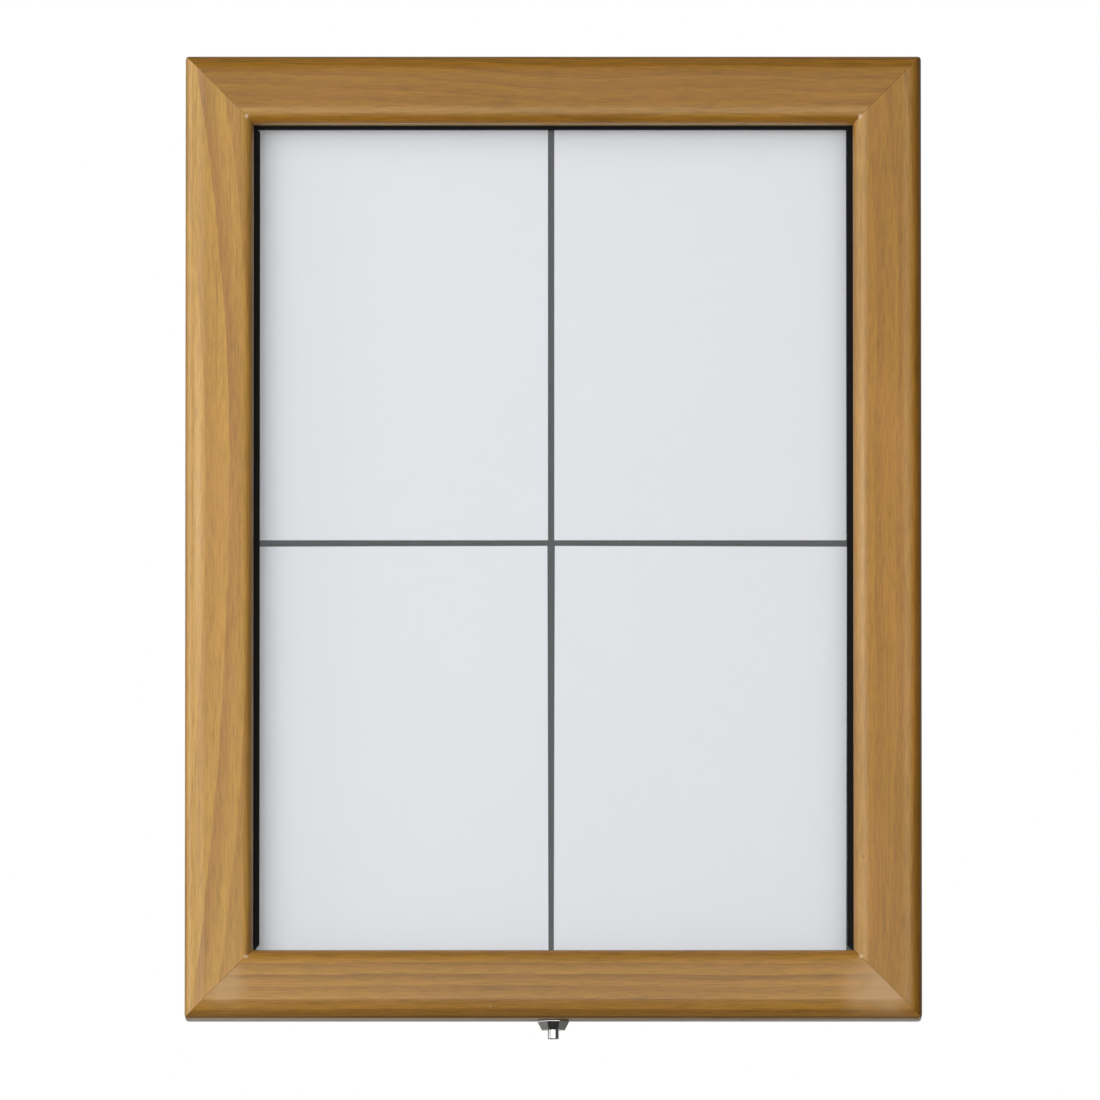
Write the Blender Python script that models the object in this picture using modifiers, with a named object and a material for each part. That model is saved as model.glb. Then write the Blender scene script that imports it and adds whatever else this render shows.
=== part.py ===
"""Wall-mounted information display case with a top-hinged, glazed pine door.

The room wall is the plane y = 0, the front faces -y, +x is to the right and +z is up.
The origin lies on the wall, behind the middle of the door. All sizes are in metres.
A shallow sheet-metal case is screwed to the wall and carries a board with four paper sheets.
The door is a mitred timber frame that wraps over the case and locks at its bottom edge.
"""

import math

import bmesh
import bpy
from mathutils import Matrix, Vector

# Clearances and stock shared by several pieces
FIT = 0.0003
SHEET_METAL = 0.0012
RIVET_RADIUS = 0.0015
SCREW_RADIUS = 0.0014

# Four A4 sheets in two rows of two, on a board
SHEET_WIDTH = 0.210
SHEET_HEIGHT = 0.297
SHEET_THICKNESS = 0.0003
SHEET_GAP_ACROSS = 0.0046
SHEET_GAP_UP = 0.0044
SHEET_GROUP_X = -0.0016
SHEET_GROUP_Z = -0.0023
SHEET_TILT = math.radians(0.15)
BOARD_MARGIN = 0.0088
BOARD_THICKNESS = 0.0065

# How far the timber opening stands outside the sheets at the sides, and laps over them above and below
SIGHT_MARGIN_ACROSS = 0.0032
SIGHT_LAP_UP = 0.0012

# Door timber: one section for all four mouldings, with flattened rounds
TIMBER_TO_WALL = 0.003
SIDE_DEPTH = 0.017
SIDE_WIDTH = 0.018
FACE_DEPTH = 0.024
FACE_WIDTH = 0.049
OUTER_ROUND = 0.010
OUTER_ROUND_WIDTH = 0.015
INNER_ROUND = 0.009
INNER_ROUND_WIDTH = 0.012
CORNER_ROUND = 0.003

# Loose tongues glued across the mitres
SPLINE_LENGTH = 0.032
SPLINE_WIDTH = 0.016
SPLINE_THICKNESS = 0.003
SPLINE_DEPTH = 0.011

# Glazing
PANE_THICKNESS = 0.003
PANE_BITE = 0.0065
PANE_PLAY = 0.0005
GASKET_THICKNESS = 0.0012
GASKET_SHOWS_AT_SIDES = 0.0045
GASKET_SHOWS_AT_TOP = 0.003
RETAINER_THICKNESS = 0.002
RETAINER_BITE = 0.0055
RETAINER_WIDTH = 0.014
RETAINER_SCREW_INSET = 0.004
RETAINER_SCREW_LENGTH = 0.013
RETAINER_SCREW_FROM_CORNER = 0.120
RETAINER_SCREW_HEAD = 0.0029
RETAINER_SCREW_HEAD_HEIGHT = 0.0016

# Wall case
CASE_CLEARANCE = 0.0033
CASE_FOOT_WIDTH = 0.012
SEAL_WIDTH = 0.005
SEAL_HEAD = 0.0054
SEAL_GRIP = 0.0045
FIXING_HOLE_RADIUS = 0.00275
FIXING_FROM_END = 0.056

# Continuous hinge along the top
HINGE_FROM_DOOR_SIDE = 0.0395
KNUCKLE_COUNT = 15
KNUCKLE_RADIUS = 0.0025
HINGE_PIN_RADIUS = 0.0011
LEAF_THICKNESS = 0.0012
LEAF_WIDTH = 0.0125
LEAF_END_MARGIN = 0.030
LEAF_HOLES = 4
RIVET_HEAD_RADIUS = 0.0027
RIVET_HEAD_HEIGHT = 0.0009
HINGE_SCREW_HEAD = 0.0026
HINGE_SCREW_HEAD_HEIGHT = 0.0010
HINGE_SCREW_LENGTH = 0.012
HINGE_SCREW_SHIFT = 0.018

# Lock at the middle of the bottom rail
LOCK_FROM_WALL = 0.0125
COLLAR_TOP_ACROSS = 0.0225
COLLAR_BOTTOM_ACROSS = 0.0165
COLLAR_HEIGHT = 0.0068
COLLAR_RIM = 0.0011
COLLAR_SIDES = 8
HOUSING_RADIUS = 0.006
STEM_RADIUS = 0.004
STEM_REACH = 0.0066
KEYWAY_WIDTH = 0.0014
KEYWAY_LENGTH = 0.0048
KEYWAY_DEPTH = 0.004
NUT_ACROSS_FLATS = 0.016
NUT_THICKNESS = 0.0035
NUT_SIDES = 6
CAM_REACH = 0.0105
CAM_WIDTH = 0.007
CAM_HUB_RADIUS = 0.0055
CAM_THICKNESS = 0.002
CAM_TANG = 0.005
CAM_SCREW_RADIUS = 0.0012
CAM_SCREW_HEAD = 0.0040
CAM_SCREW_HEAD_HEIGHT = 0.0018
CAM_SCREW_LENGTH = 0.008
CAM_RUNNING_GAP = 0.0006
POCKET_MARGIN = 0.0015

# Keeper: a bent plate with a finger that the cam turns behind
KEEPER_LENGTH = 0.0195
KEEPER_TO_RETAINER = 0.0037
KEEPER_SLACK = 0.0012
KEEPER_BASE_DEPTH = 0.013
KEEPER_TO_HUB = 0.0007
NOTCH_MARGIN = 0.0018

# Shape of a screw's or rivet's head: its flat crown and its rim, as shares of the head
HEAD_CROWN = 0.72
HEAD_RIM = 0.45

# Facets of the round shapes; the corner cuts are degrees from the side towards the end
ROUND_STEPS = 6
TIMBER_STEPS = 10
FASTENER_SEGMENTS = 12
HOLE_SEGMENTS = 16
BARREL_SEGMENTS = 32
CORNER_CUTS = (22.5, 45.0)
SHADED_ROUND_BELOW = math.radians(35)

# Overall sizes that follow from the sheets
SHEETS_WIDTH = 2 * SHEET_WIDTH + SHEET_GAP_ACROSS
SHEETS_HEIGHT = 2 * SHEET_HEIGHT + SHEET_GAP_UP
DOOR_WIDTH = SHEETS_WIDTH + 2 * (SIGHT_MARGIN_ACROSS + FACE_WIDTH)
DOOR_HEIGHT = SHEETS_HEIGHT + 2 * (FACE_WIDTH - SIGHT_LAP_UP)
BOARD_WIDTH = SHEETS_WIDTH + 2 * BOARD_MARGIN
BOARD_HEIGHT = SHEETS_HEIGHT + 2 * BOARD_MARGIN
HINGE_LENGTH = DOOR_WIDTH - 2 * HINGE_FROM_DOOR_SIDE

# Levels from the wall outwards
TIMBER_REAR = -TIMBER_TO_WALL
FACE_REAR = TIMBER_REAR - SIDE_DEPTH
FRONT = FACE_REAR - FACE_DEPTH
PLATE_FRONT = -SHEET_METAL
FOOT_REAR = PLATE_FRONT - FIT
SEAL_FRONT = FACE_REAR + FIT
CASE_WALL_FRONT = SEAL_FRONT + SEAL_HEAD + FIT
PANE_REAR = FACE_REAR
PANE_FRONT = PANE_REAR - PANE_THICKNESS
GASKET_REAR = PANE_FRONT - FIT
GASKET_FRONT = GASKET_REAR - GASKET_THICKNESS
REBATE_FRONT = GASKET_FRONT - FIT
RETAINER_FRONT = FACE_REAR + FIT
RETAINER_REAR = RETAINER_FRONT + RETAINER_THICKNESS
BOARD_REAR = PLATE_FRONT - FIT
BOARD_FRONT = BOARD_REAR - BOARD_THICKNESS

# Distances inwards from the door's outer edge, and heights of the wall screws
REBATE_WALL = FACE_WIDTH - PANE_BITE - PANE_PLAY
PANE_EDGE = FACE_WIDTH - PANE_BITE
CASE_WALL_OUTSIDE = SIDE_WIDTH + CASE_CLEARANCE
CASE_WALL_INSIDE = CASE_WALL_OUTSIDE + SHEET_METAL
RETAINER_INSIDE = PANE_EDGE + RETAINER_BITE
RETAINER_OUTSIDE = RETAINER_INSIDE - RETAINER_WIDTH
FIXING_Z = DOOR_HEIGHT / 2 - CASE_WALL_OUTSIDE - FIXING_FROM_END

# Hinge axis
HINGE_Y = -(SHEET_METAL + FIT + KNUCKLE_RADIUS)
HINGE_Z = DOOR_HEIGHT / 2 - KNUCKLE_RADIUS
LEAF_BOTTOM = HINGE_Z - KNUCKLE_RADIUS - LEAF_WIDTH
LEAF_HOLE_Z = (LEAF_BOTTOM + HINGE_Z - KNUCKLE_RADIUS) / 2

# Lock levels, from the bottom edge of the door upwards
DOOR_BOTTOM = -DOOR_HEIGHT / 2
RAIL_INSIDE = DOOR_BOTTOM + SIDE_WIDTH
NUT_BOTTOM = RAIL_INSIDE + FIT
NUT_TOP = NUT_BOTTOM + NUT_THICKNESS
CASE_WALL_TOP_SIDE = DOOR_BOTTOM + CASE_WALL_INSIDE
CAM_BOTTOM = max(CASE_WALL_TOP_SIDE, NUT_TOP + FIT) + CAM_RUNNING_GAP
CAM_TOP = CAM_BOTTOM + CAM_THICKNESS
STEM_SHOULDER = CAM_BOTTOM - FIT
STEM_END = DOOR_BOTTOM - COLLAR_HEIGHT - STEM_REACH
CAM_SCREW_SEAT = CAM_TOP + FIT
POCKET_TOP = NUT_TOP + POCKET_MARGIN
LOCK_Y = -LOCK_FROM_WALL
NOTCH_HALF = NUT_ACROSS_FLATS / 2 / math.cos(math.pi / NUT_SIDES) + NOTCH_MARGIN
KEEPER_FAR = NOTCH_HALF + KEEPER_LENGTH

COLOURS = {
    "pine": ((0.47, 0.24, 0.07), 0.38, 0.0),
    "beech": ((0.62, 0.45, 0.27), 0.7, 0.0),
    "clear": ((0.93, 0.95, 0.96), 0.05, 0.0),
    "black_rubber": ((0.012, 0.012, 0.013), 0.75, 0.0),
    "paper": ((0.72, 0.73, 0.76), 0.8, 0.0),
    "dark_board": ((0.095, 0.10, 0.098), 0.7, 0.0),
    "zinc_sheet": ((0.55, 0.56, 0.57), 0.45, 0.9),
    "aluminium": ((0.72, 0.72, 0.73), 0.4, 1.0),
    "steel": ((0.50, 0.50, 0.51), 0.35, 1.0),
    "chrome": ((0.80, 0.80, 0.82), 0.12, 1.0),
}

for leftover in list(bpy.data.objects):
    bpy.data.objects.remove(leftover, do_unlink=True)

parts = bpy.data.collections.new("information_display_case")
cutters = bpy.data.collections.new("cutters")
for collection in (parts, cutters):
    bpy.context.scene.collection.children.link(collection)


def paint(obj, colour):
    """Give one piece its own material."""
    base, roughness, metallic = COLOURS[colour]
    material = bpy.data.materials.new(obj.name)
    material.use_nodes = True
    shader = material.node_tree.nodes["Principled BSDF"]
    shader.inputs["Base Color"].default_value = (*base, 1.0)
    shader.inputs["Roughness"].default_value = roughness
    shader.inputs["Metallic"].default_value = metallic
    material.diffuse_color = (*base, 1.0)
    obj.data.materials.clear()
    obj.data.materials.append(material)


def add_object(name, mesh, colour=None):
    """Link a mesh as a piece of the case or, without a colour, as a cutter."""
    obj = bpy.data.objects.new(name, mesh)
    if colour is None:
        cutters.objects.link(obj)
        obj.hide_render = True
        obj.display_type = "WIRE"
    else:
        parts.objects.link(obj)
        paint(obj, colour)
    return obj


def block(name, low, high, colour=None):
    """A rectangular block between two opposite corners."""
    size = Vector(high) - Vector(low)
    mesh = bpy.data.meshes.new(name)
    shape = bmesh.new()
    bmesh.ops.create_cube(shape, size=1.0)
    bmesh.ops.scale(shape, vec=size, verts=shape.verts)
    shape.to_mesh(mesh)
    shape.free()
    obj = add_object(name, mesh, colour)
    obj.location = (Vector(low) + Vector(high)) / 2
    return obj


def barrel(name, start, end, radius, colour=None, segments=HOLE_SEGMENTS, end_radius=None):
    """A cylinder or cone from one point to another."""
    run = Vector(end) - Vector(start)
    mesh = bpy.data.meshes.new(name)
    shape = bmesh.new()
    bmesh.ops.create_cone(
        shape,
        cap_ends=True,
        segments=segments,
        radius1=radius,
        radius2=radius if end_radius is None else end_radius,
        depth=run.length,
        matrix=Matrix.Rotation(math.pi / segments, 4, "Z"),
    )
    shape.to_mesh(mesh)
    shape.free()
    obj = add_object(name, mesh, colour)
    obj.location = (Vector(start) + Vector(end)) / 2
    obj.rotation_euler = run.to_track_quat("Z", "Y").to_euler()
    if colour is not None:
        smooth(obj)
    return obj


def smooth(obj):
    """Shade the round faces smooth and keep the corners sharp."""
    obj.data.shade_smooth()
    obj.data.set_sharp_from_angle(angle=SHADED_ROUND_BELOW)


def arc(centre, radius, start, stop, steps):
    """Points along an arc, both ends included; angles in degrees."""
    points = []
    for step in range(steps + 1):
        angle = math.radians(start + (stop - start) * step / steps)
        points.append((centre[0] + radius * math.cos(angle), centre[1] + radius * math.sin(angle)))
    return points


def circle(centre, radius, segments=HOLE_SEGMENTS):
    """A closed ring of points."""
    return arc(centre, radius, 0, 360, segments)[:-1]


def extruded(name, outlines, low, high):
    """A mesh of flat outlines in local x and y, drawn out along local z from low to high."""
    curve = bpy.data.curves.new(name, "CURVE")
    curve.dimensions = "2D"
    curve.fill_mode = "BOTH"
    curve.extrude = (high - low) / 2
    for outline in outlines:
        spline = curve.splines.new("POLY")
        spline.points.add(len(outline) - 1)
        for point, (x, y) in zip(spline.points, outline):
            point.co = (x, y, 0.0, 1.0)
        spline.use_cyclic_u = True
    holder = bpy.data.objects.new(name, curve)
    parts.objects.link(holder)
    graph = bpy.context.evaluated_depsgraph_get()
    mesh = bpy.data.meshes.new_from_object(holder.evaluated_get(graph))
    bpy.data.objects.remove(holder, do_unlink=True)
    bpy.data.curves.remove(curve)
    shape = bmesh.new()
    shape.from_mesh(mesh)
    bmesh.ops.remove_doubles(shape, verts=shape.verts, dist=0.00001)
    bmesh.ops.translate(shape, vec=(0.0, 0.0, (low + high) / 2), verts=shape.verts)
    bmesh.ops.recalc_face_normals(shape, faces=shape.faces)
    shape.to_mesh(mesh)
    shape.free()
    mesh.name = name
    return mesh


def trim(mesh, cuts):
    """Cut a mesh by planes, each a point and an outward normal, and close the cut faces."""
    shape = bmesh.new()
    shape.from_mesh(mesh)
    for point, normal in cuts:
        found = bmesh.ops.bisect_plane(
            shape,
            geom=shape.verts[:] + shape.edges[:] + shape.faces[:],
            dist=0.000001,
            plane_co=point,
            plane_no=normal,
            clear_outer=True,
        )
        rim = [item for item in found["geom_cut"] if isinstance(item, bmesh.types.BMEdge)]
        bmesh.ops.edgeloop_fill(shape, edges=rim)
    bmesh.ops.recalc_face_normals(shape, faces=shape.faces)
    shape.to_mesh(mesh)
    shape.free()


# A strip along one side of the door is drawn with x inwards from the door's outer edge,
# y away from the wall, and z along the side. The turn is about the y axis.
SIDES = {
    "left": (0, (-DOOR_WIDTH / 2, 0.0, 0.0), DOOR_HEIGHT),
    "top": (90, (0.0, 0.0, DOOR_HEIGHT / 2), DOOR_WIDTH),
    "right": (180, (DOOR_WIDTH / 2, 0.0, 0.0), DOOR_HEIGHT),
    "bottom": (270, (0.0, 0.0, -DOOR_HEIGHT / 2), DOOR_WIDTH),
}
# Along the strip, local +z points to this world direction
ALONG = {"left": 1, "top": 1, "right": -1, "bottom": -1}


def strip(name, side, section, colour, start=None, stop=None, corner=0.0):
    """A straight strip mitred at the door's corners, or cut square at start or stop."""
    turn, place, length = SIDES[side]
    mesh = extruded(name, [section], -length / 2, length / 2)
    cuts = []
    for sign, square in ((-1, start), (1, stop)):
        if square is not None:
            cuts.append(((0.0, 0.0, square), (0.0, 0.0, sign)))
            continue
        mitre = (length - FIT * math.sqrt(2)) / 2
        cuts.append(((0.0, 0.0, sign * mitre), (1.0, 0.0, sign)))
        for angle in CORNER_CUTS if corner else ():
            lean = Vector((-math.cos(math.radians(angle)), 0.0, sign * math.sin(math.radians(angle))))
            centre = Vector((corner, 0.0, sign * (length / 2 - corner)))
            cuts.append((centre + corner * lean, lean))
    trim(mesh, cuts)
    obj = add_object(name, mesh, colour)
    obj.rotation_euler = (0.0, math.radians(turn), 0.0)
    obj.location = place
    return obj


def cut(obj, cutter, operation="DIFFERENCE"):
    """Cut a piece by a cutter, or join the cutter to it."""
    modifier = obj.modifiers.new(cutter.name, "BOOLEAN")
    modifier.operation = operation
    modifier.object = cutter


def turned(name, profile, place, facing, colour, segments=HOLE_SEGMENTS):
    """A turned piece: the profile gives radius and height from the outer top down."""
    mesh = bpy.data.meshes.new(name)
    shape = bmesh.new()
    verts = [shape.verts.new((radius, 0.0, height)) for radius, height in profile]
    for first, second in zip(verts, verts[1:]):
        shape.edges.new((first, second))
    shape.to_mesh(mesh)
    shape.free()
    obj = add_object(name, mesh, colour)
    spin = obj.modifiers.new("turned", "SCREW")
    spin.axis = "Z"
    spin.steps = segments
    spin.render_steps = segments
    spin.use_merge_vertices = True
    spin.merge_threshold = 0.00001
    spin.use_smooth_shade = False
    obj.location = place
    obj.rotation_euler = facing.to_track_quat("Z", "Y").to_euler()
    return obj


def fastener(name, seat, facing, shank, length, head, head_height, colour="steel"):
    """A screw or rivet whose head stands on the seat and faces the given way."""
    profile = [
        (0.0, head_height),
        (head * HEAD_CROWN, head_height),
        (head, head_height * HEAD_RIM),
        (head, 0.0),
        (shank, 0.0),
        (shank, -length),
        (0.0, -length),
    ]
    return turned(name, profile, seat, facing, colour, segments=FASTENER_SEGMENTS)


REARWARD = Vector((0.0, 1.0, 0.0))
FORWARD = Vector((0.0, -1.0, 0.0))
UPWARD = Vector((0.0, 0.0, 1.0))
# Turns a section drawn in y and z, and extruded along local z, to lie along x
LIE_ALONG_X = Matrix(((0.0, 0.0, 1.0), (1.0, 0.0, 0.0), (0.0, 1.0, 0.0))).to_euler()


def door_point(side, inwards, along, y):
    """World position of a point given by its distance in from one side of the door."""
    turn, place, _ = SIDES[side]
    local = Vector((inwards, y, along * ALONG[side]))
    return Matrix.Rotation(math.radians(turn), 3, "Y") @ local + Vector(place)


# Door frame

def timber_section():
    """The moulding: a rounded face part with a glazing rebate, and a side wall behind it."""
    outer = [
        (OUTER_ROUND_WIDTH * (1 + x), FRONT + OUTER_ROUND * (1 + y))
        for x, y in arc((0.0, 0.0), 1.0, 180, 270, TIMBER_STEPS)
    ]
    inner = [
        (FACE_WIDTH - INNER_ROUND_WIDTH * (1 - x), FRONT + INNER_ROUND * (1 + y))
        for x, y in arc((0.0, 0.0), 1.0, 270, 360, TIMBER_STEPS)
    ]
    return [
        (0.0, TIMBER_REAR),
        *outer,
        *inner,
        (FACE_WIDTH, REBATE_FRONT),
        (REBATE_WALL, REBATE_FRONT),
        (REBATE_WALL, FACE_REAR),
        (SIDE_WIDTH, FACE_REAR),
        (SIDE_WIDTH, TIMBER_REAR),
    ]


def build_timber():
    """Two stiles and two rails, mitred at the corners."""
    names = {
        "left": "door_stile_left",
        "top": "door_rail_top",
        "right": "door_stile_right",
        "bottom": "door_rail_bottom",
    }
    timber = {}
    for side, name in names.items():
        timber[side] = strip(name, side, timber_section(), "pine", corner=CORNER_ROUND)
        smooth(timber[side])
    return timber


def tongue_outline(length, width):
    """A flat tongue with round ends, its length along local y."""
    radius = width / 2
    reach = length / 2 - radius
    far_end = arc((0.0, reach), radius, 0, 180, ROUND_STEPS)
    near_end = arc((0.0, -reach), radius, 180, 360, ROUND_STEPS)
    return far_end + near_end


def build_splines(timber):
    """A loose tongue across each mitre, hidden in a slot in both mouldings."""
    middle = (SIDE_WIDTH + REBATE_WALL) / 2 - SPLINE_WIDTH / 4
    level = FRONT + SPLINE_DEPTH
    pieces = []
    for across, up, sides in (
        (-1, 1, ("top", "left")),
        (1, 1, ("top", "right")),
        (-1, -1, ("bottom", "left")),
        (1, -1, ("bottom", "right")),
    ):
        corner = f"{sides[0]}_{sides[1]}"
        place = (across * (DOOR_WIDTH / 2 - middle), level, up * (DOOR_HEIGHT / 2 - middle))
        lean = math.radians(45 * across * up)
        slot_size = (SPLINE_LENGTH + 2 * FIT, SPLINE_WIDTH + 2 * FIT, SPLINE_THICKNESS + 2 * FIT)
        sizes = {
            f"mitre_spline_{corner}": (SPLINE_LENGTH, SPLINE_WIDTH, SPLINE_THICKNESS, "beech"),
            f"slot_{corner}": (*slot_size, None),
        }
        for name, (length, width, thickness, colour) in sizes.items():
            mesh = extruded(name, [tongue_outline(length, width)], -thickness / 2, thickness / 2)
            obj = add_object(name, mesh, colour)
            obj.location = place
            obj.rotation_euler = (math.pi / 2, lean, 0.0)
            if colour is None:
                for side in sides:
                    cut(timber[side], obj)
            else:
                smooth(obj)
                pieces.append(obj)
    return pieces


# Glazing

def build_glazing(timber):
    """The clear pane, its black gasket, and the screwed strips that hold it in the rebate."""
    half_width = DOOR_WIDTH / 2 - PANE_EDGE
    half_height = DOOR_HEIGHT / 2 - PANE_EDGE
    pieces = [
        block(
            "glazing_pane",
            (-half_width, PANE_FRONT, -half_height),
            (half_width, PANE_REAR, half_height),
            "clear",
        )
    ]
    shows = {
        "left": GASKET_SHOWS_AT_SIDES,
        "right": GASKET_SHOWS_AT_SIDES,
        "top": GASKET_SHOWS_AT_TOP,
        "bottom": 0.0,
    }
    for side, width in shows.items():
        section = [
            (REBATE_WALL + FIT, GASKET_REAR),
            (REBATE_WALL + FIT, GASKET_FRONT),
            (FACE_WIDTH + width, GASKET_FRONT),
            (FACE_WIDTH + width, GASKET_REAR),
        ]
        pieces.append(strip(f"glazing_gasket_{side}", side, section, "black_rubber"))
    section = [
        (RETAINER_OUTSIDE, RETAINER_REAR),
        (RETAINER_OUTSIDE, RETAINER_FRONT),
        (RETAINER_INSIDE, RETAINER_FRONT),
        (RETAINER_INSIDE, RETAINER_REAR),
    ]
    for side, (_, _, length) in SIDES.items():
        retainer = strip(f"pane_retainer_{side}", side, section, "aluminium")
        pieces.append(retainer)
        reach = length / 2 - RETAINER_SCREW_FROM_CORNER
        for number, along in enumerate((-reach, reach), start=1):
            inwards = RETAINER_OUTSIDE + RETAINER_SCREW_INSET
            seat = door_point(side, inwards, along, RETAINER_REAR + FIT)
            name = f"retainer_screw_{side}_{number}"
            pieces.append(
                fastener(
                    name,
                    seat,
                    REARWARD,
                    SCREW_RADIUS,
                    RETAINER_SCREW_LENGTH,
                    RETAINER_SCREW_HEAD,
                    RETAINER_SCREW_HEAD_HEIGHT,
                )
            )
            tip = seat + FORWARD * (RETAINER_SCREW_LENGTH + FIT)
            hole = barrel(f"hole_{name}", seat + REARWARD * FIT, tip, SCREW_RADIUS + FIT)
            cut(retainer, hole)
            cut(timber[side], hole)
    return pieces


# Wall case

def angle_section():
    """A sheet-metal angle: the upright wall and its foot on the back plate."""
    return [
        (CASE_WALL_OUTSIDE, FOOT_REAR),
        (CASE_WALL_OUTSIDE, CASE_WALL_FRONT),
        (CASE_WALL_INSIDE, CASE_WALL_FRONT),
        (CASE_WALL_INSIDE, FOOT_REAR - SHEET_METAL),
        (CASE_WALL_INSIDE + CASE_FOOT_WIDTH, FOOT_REAR - SHEET_METAL),
        (CASE_WALL_INSIDE + CASE_FOOT_WIDTH, FOOT_REAR),
    ]


def seal_section():
    """A rubber edge seal: two legs grip the case wall and a round head meets the door."""
    middle = (CASE_WALL_OUTSIDE + CASE_WALL_INSIDE) / 2
    radius = SEAL_WIDTH / 2
    slot = SHEET_METAL / 2 + FIT
    leg_end = CASE_WALL_FRONT + SEAL_GRIP
    head = arc((middle, SEAL_FRONT + radius), radius, 180, 360, 2 * ROUND_STEPS)
    return [
        (middle - radius, leg_end),
        *head,
        (middle + radius, leg_end),
        (middle + slot, leg_end),
        (middle + slot, CASE_WALL_FRONT - FIT),
        (middle - slot, CASE_WALL_FRONT - FIT),
        (middle - slot, leg_end),
    ]


def hinge_hole_places(shift):
    """The x positions of a leaf's holes."""
    reach = HINGE_LENGTH / 2 - LEAF_END_MARGIN
    return [shift - reach + 2 * reach * step / (LEAF_HOLES - 1) for step in range(LEAF_HOLES)]


def build_case():
    """The back plate, the angles round it and the rubber seal on their edges."""
    half_width = DOOR_WIDTH / 2 - CASE_WALL_OUTSIDE
    half_height = DOOR_HEIGHT / 2 - CASE_WALL_OUTSIDE
    tab_half = HINGE_LENGTH / 2
    tab_top = HINGE_Z - KNUCKLE_RADIUS - FIT
    outline = [
        (-half_width, -half_height),
        (half_width, -half_height),
        (half_width, half_height),
        (tab_half, half_height),
        (tab_half, tab_top),
        (-tab_half, tab_top),
        (-tab_half, half_height),
        (-half_width, half_height),
    ]
    fixing_x = half_width - SHEET_METAL - CASE_FOOT_WIDTH / 2
    holes = [circle((x, z), FIXING_HOLE_RADIUS) for x in (-fixing_x, fixing_x)
             for z in (-FIXING_Z, FIXING_Z)]
    holes += [circle((x, LEAF_HOLE_Z), RIVET_RADIUS + FIT) for x in hinge_hole_places(0.0)]
    mesh = extruded("case_back_plate", [outline, *holes], 0.0, SHEET_METAL)
    plate = add_object("case_back_plate", mesh, "zinc_sheet")
    plate.rotation_euler = (math.pi / 2, 0.0, 0.0)
    pieces = [plate]

    runs = {
        "top": ("top", None, None, None, None),
        "left": ("left", None, None, None, None),
        "right": ("right", None, None, None, None),
        "bottom_left": ("bottom", NOTCH_HALF, None, KEEPER_FAR + NOTCH_MARGIN, None),
        "bottom_right": ("bottom", None, -NOTCH_HALF, None, -NOTCH_HALF),
    }
    walls = {}
    for name, (side, wall_start, wall_stop, seal_start, seal_stop) in runs.items():
        wall = strip(
            f"case_wall_{name}", side, angle_section(), "zinc_sheet", start=wall_start, stop=wall_stop
        )
        seal = strip(
            f"rim_seal_{name}", side, seal_section(), "black_rubber", start=seal_start, stop=seal_stop
        )
        walls[name] = wall
        pieces += [wall, seal]
    for name, sign in (("left", -1), ("right", 1)):
        for label, z in (("low", -FIXING_Z), ("high", FIXING_Z)):
            start = (sign * fixing_x, 0.0, z)
            end = (sign * fixing_x, FOOT_REAR - 2 * SHEET_METAL, z)
            cut(walls[name], barrel(f"fixing_{name}_{label}", start, end, FIXING_HOLE_RADIUS))
    return pieces, walls


def build_display():
    """The dark board on the back plate, and four A4 sheets on the board."""
    pieces = [
        block(
            "display_board",
            (-BOARD_WIDTH / 2, BOARD_FRONT, -BOARD_HEIGHT / 2),
            (BOARD_WIDTH / 2, BOARD_REAR, BOARD_HEIGHT / 2),
            "dark_board",
        )
    ]
    tilts = {
        "top_left": (-1, 1, 0),
        "top_right": (1, 1, 0),
        "bottom_left": (-1, -1, -1),
        "bottom_right": (1, -1, 1),
    }
    rear = BOARD_FRONT - FIT
    for corner, (across, up, tilt) in tilts.items():
        x = SHEET_GROUP_X + across * (SHEET_GAP_ACROSS + SHEET_WIDTH) / 2
        z = SHEET_GROUP_Z + up * (SHEET_GAP_UP + SHEET_HEIGHT) / 2
        sheet = block(
            f"paper_sheet_{corner}",
            (x - SHEET_WIDTH / 2, rear - SHEET_THICKNESS, z - SHEET_HEIGHT / 2),
            (x + SHEET_WIDTH / 2, rear, z + SHEET_HEIGHT / 2),
            "paper",
        )
        sheet.rotation_euler = (0.0, tilt * SHEET_TILT, 0.0)
        pieces.append(sheet)
    return pieces


# Hinge

def leaf_section(side):
    """One leaf with its rolled knuckle about the pin; side 1 is the wall's, -1 the door's."""
    thin = KNUCKLE_RADIUS - LEAF_THICKNESS
    bottom = LEAF_BOTTOM - HINGE_Z
    meet = -math.degrees(math.acos(thin / KNUCKLE_RADIUS))
    roll = arc((0.0, 0.0), KNUCKLE_RADIUS, 0, 360 + meet, 2 * ROUND_STEPS + 2)
    outline = [(KNUCKLE_RADIUS, bottom), *roll, (thin, bottom)]
    bore = circle((0.0, 0.0), HINGE_PIN_RADIUS + FIT)
    return [[(side * y, z) for y, z in ring] for ring in (outline, bore)]


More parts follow.
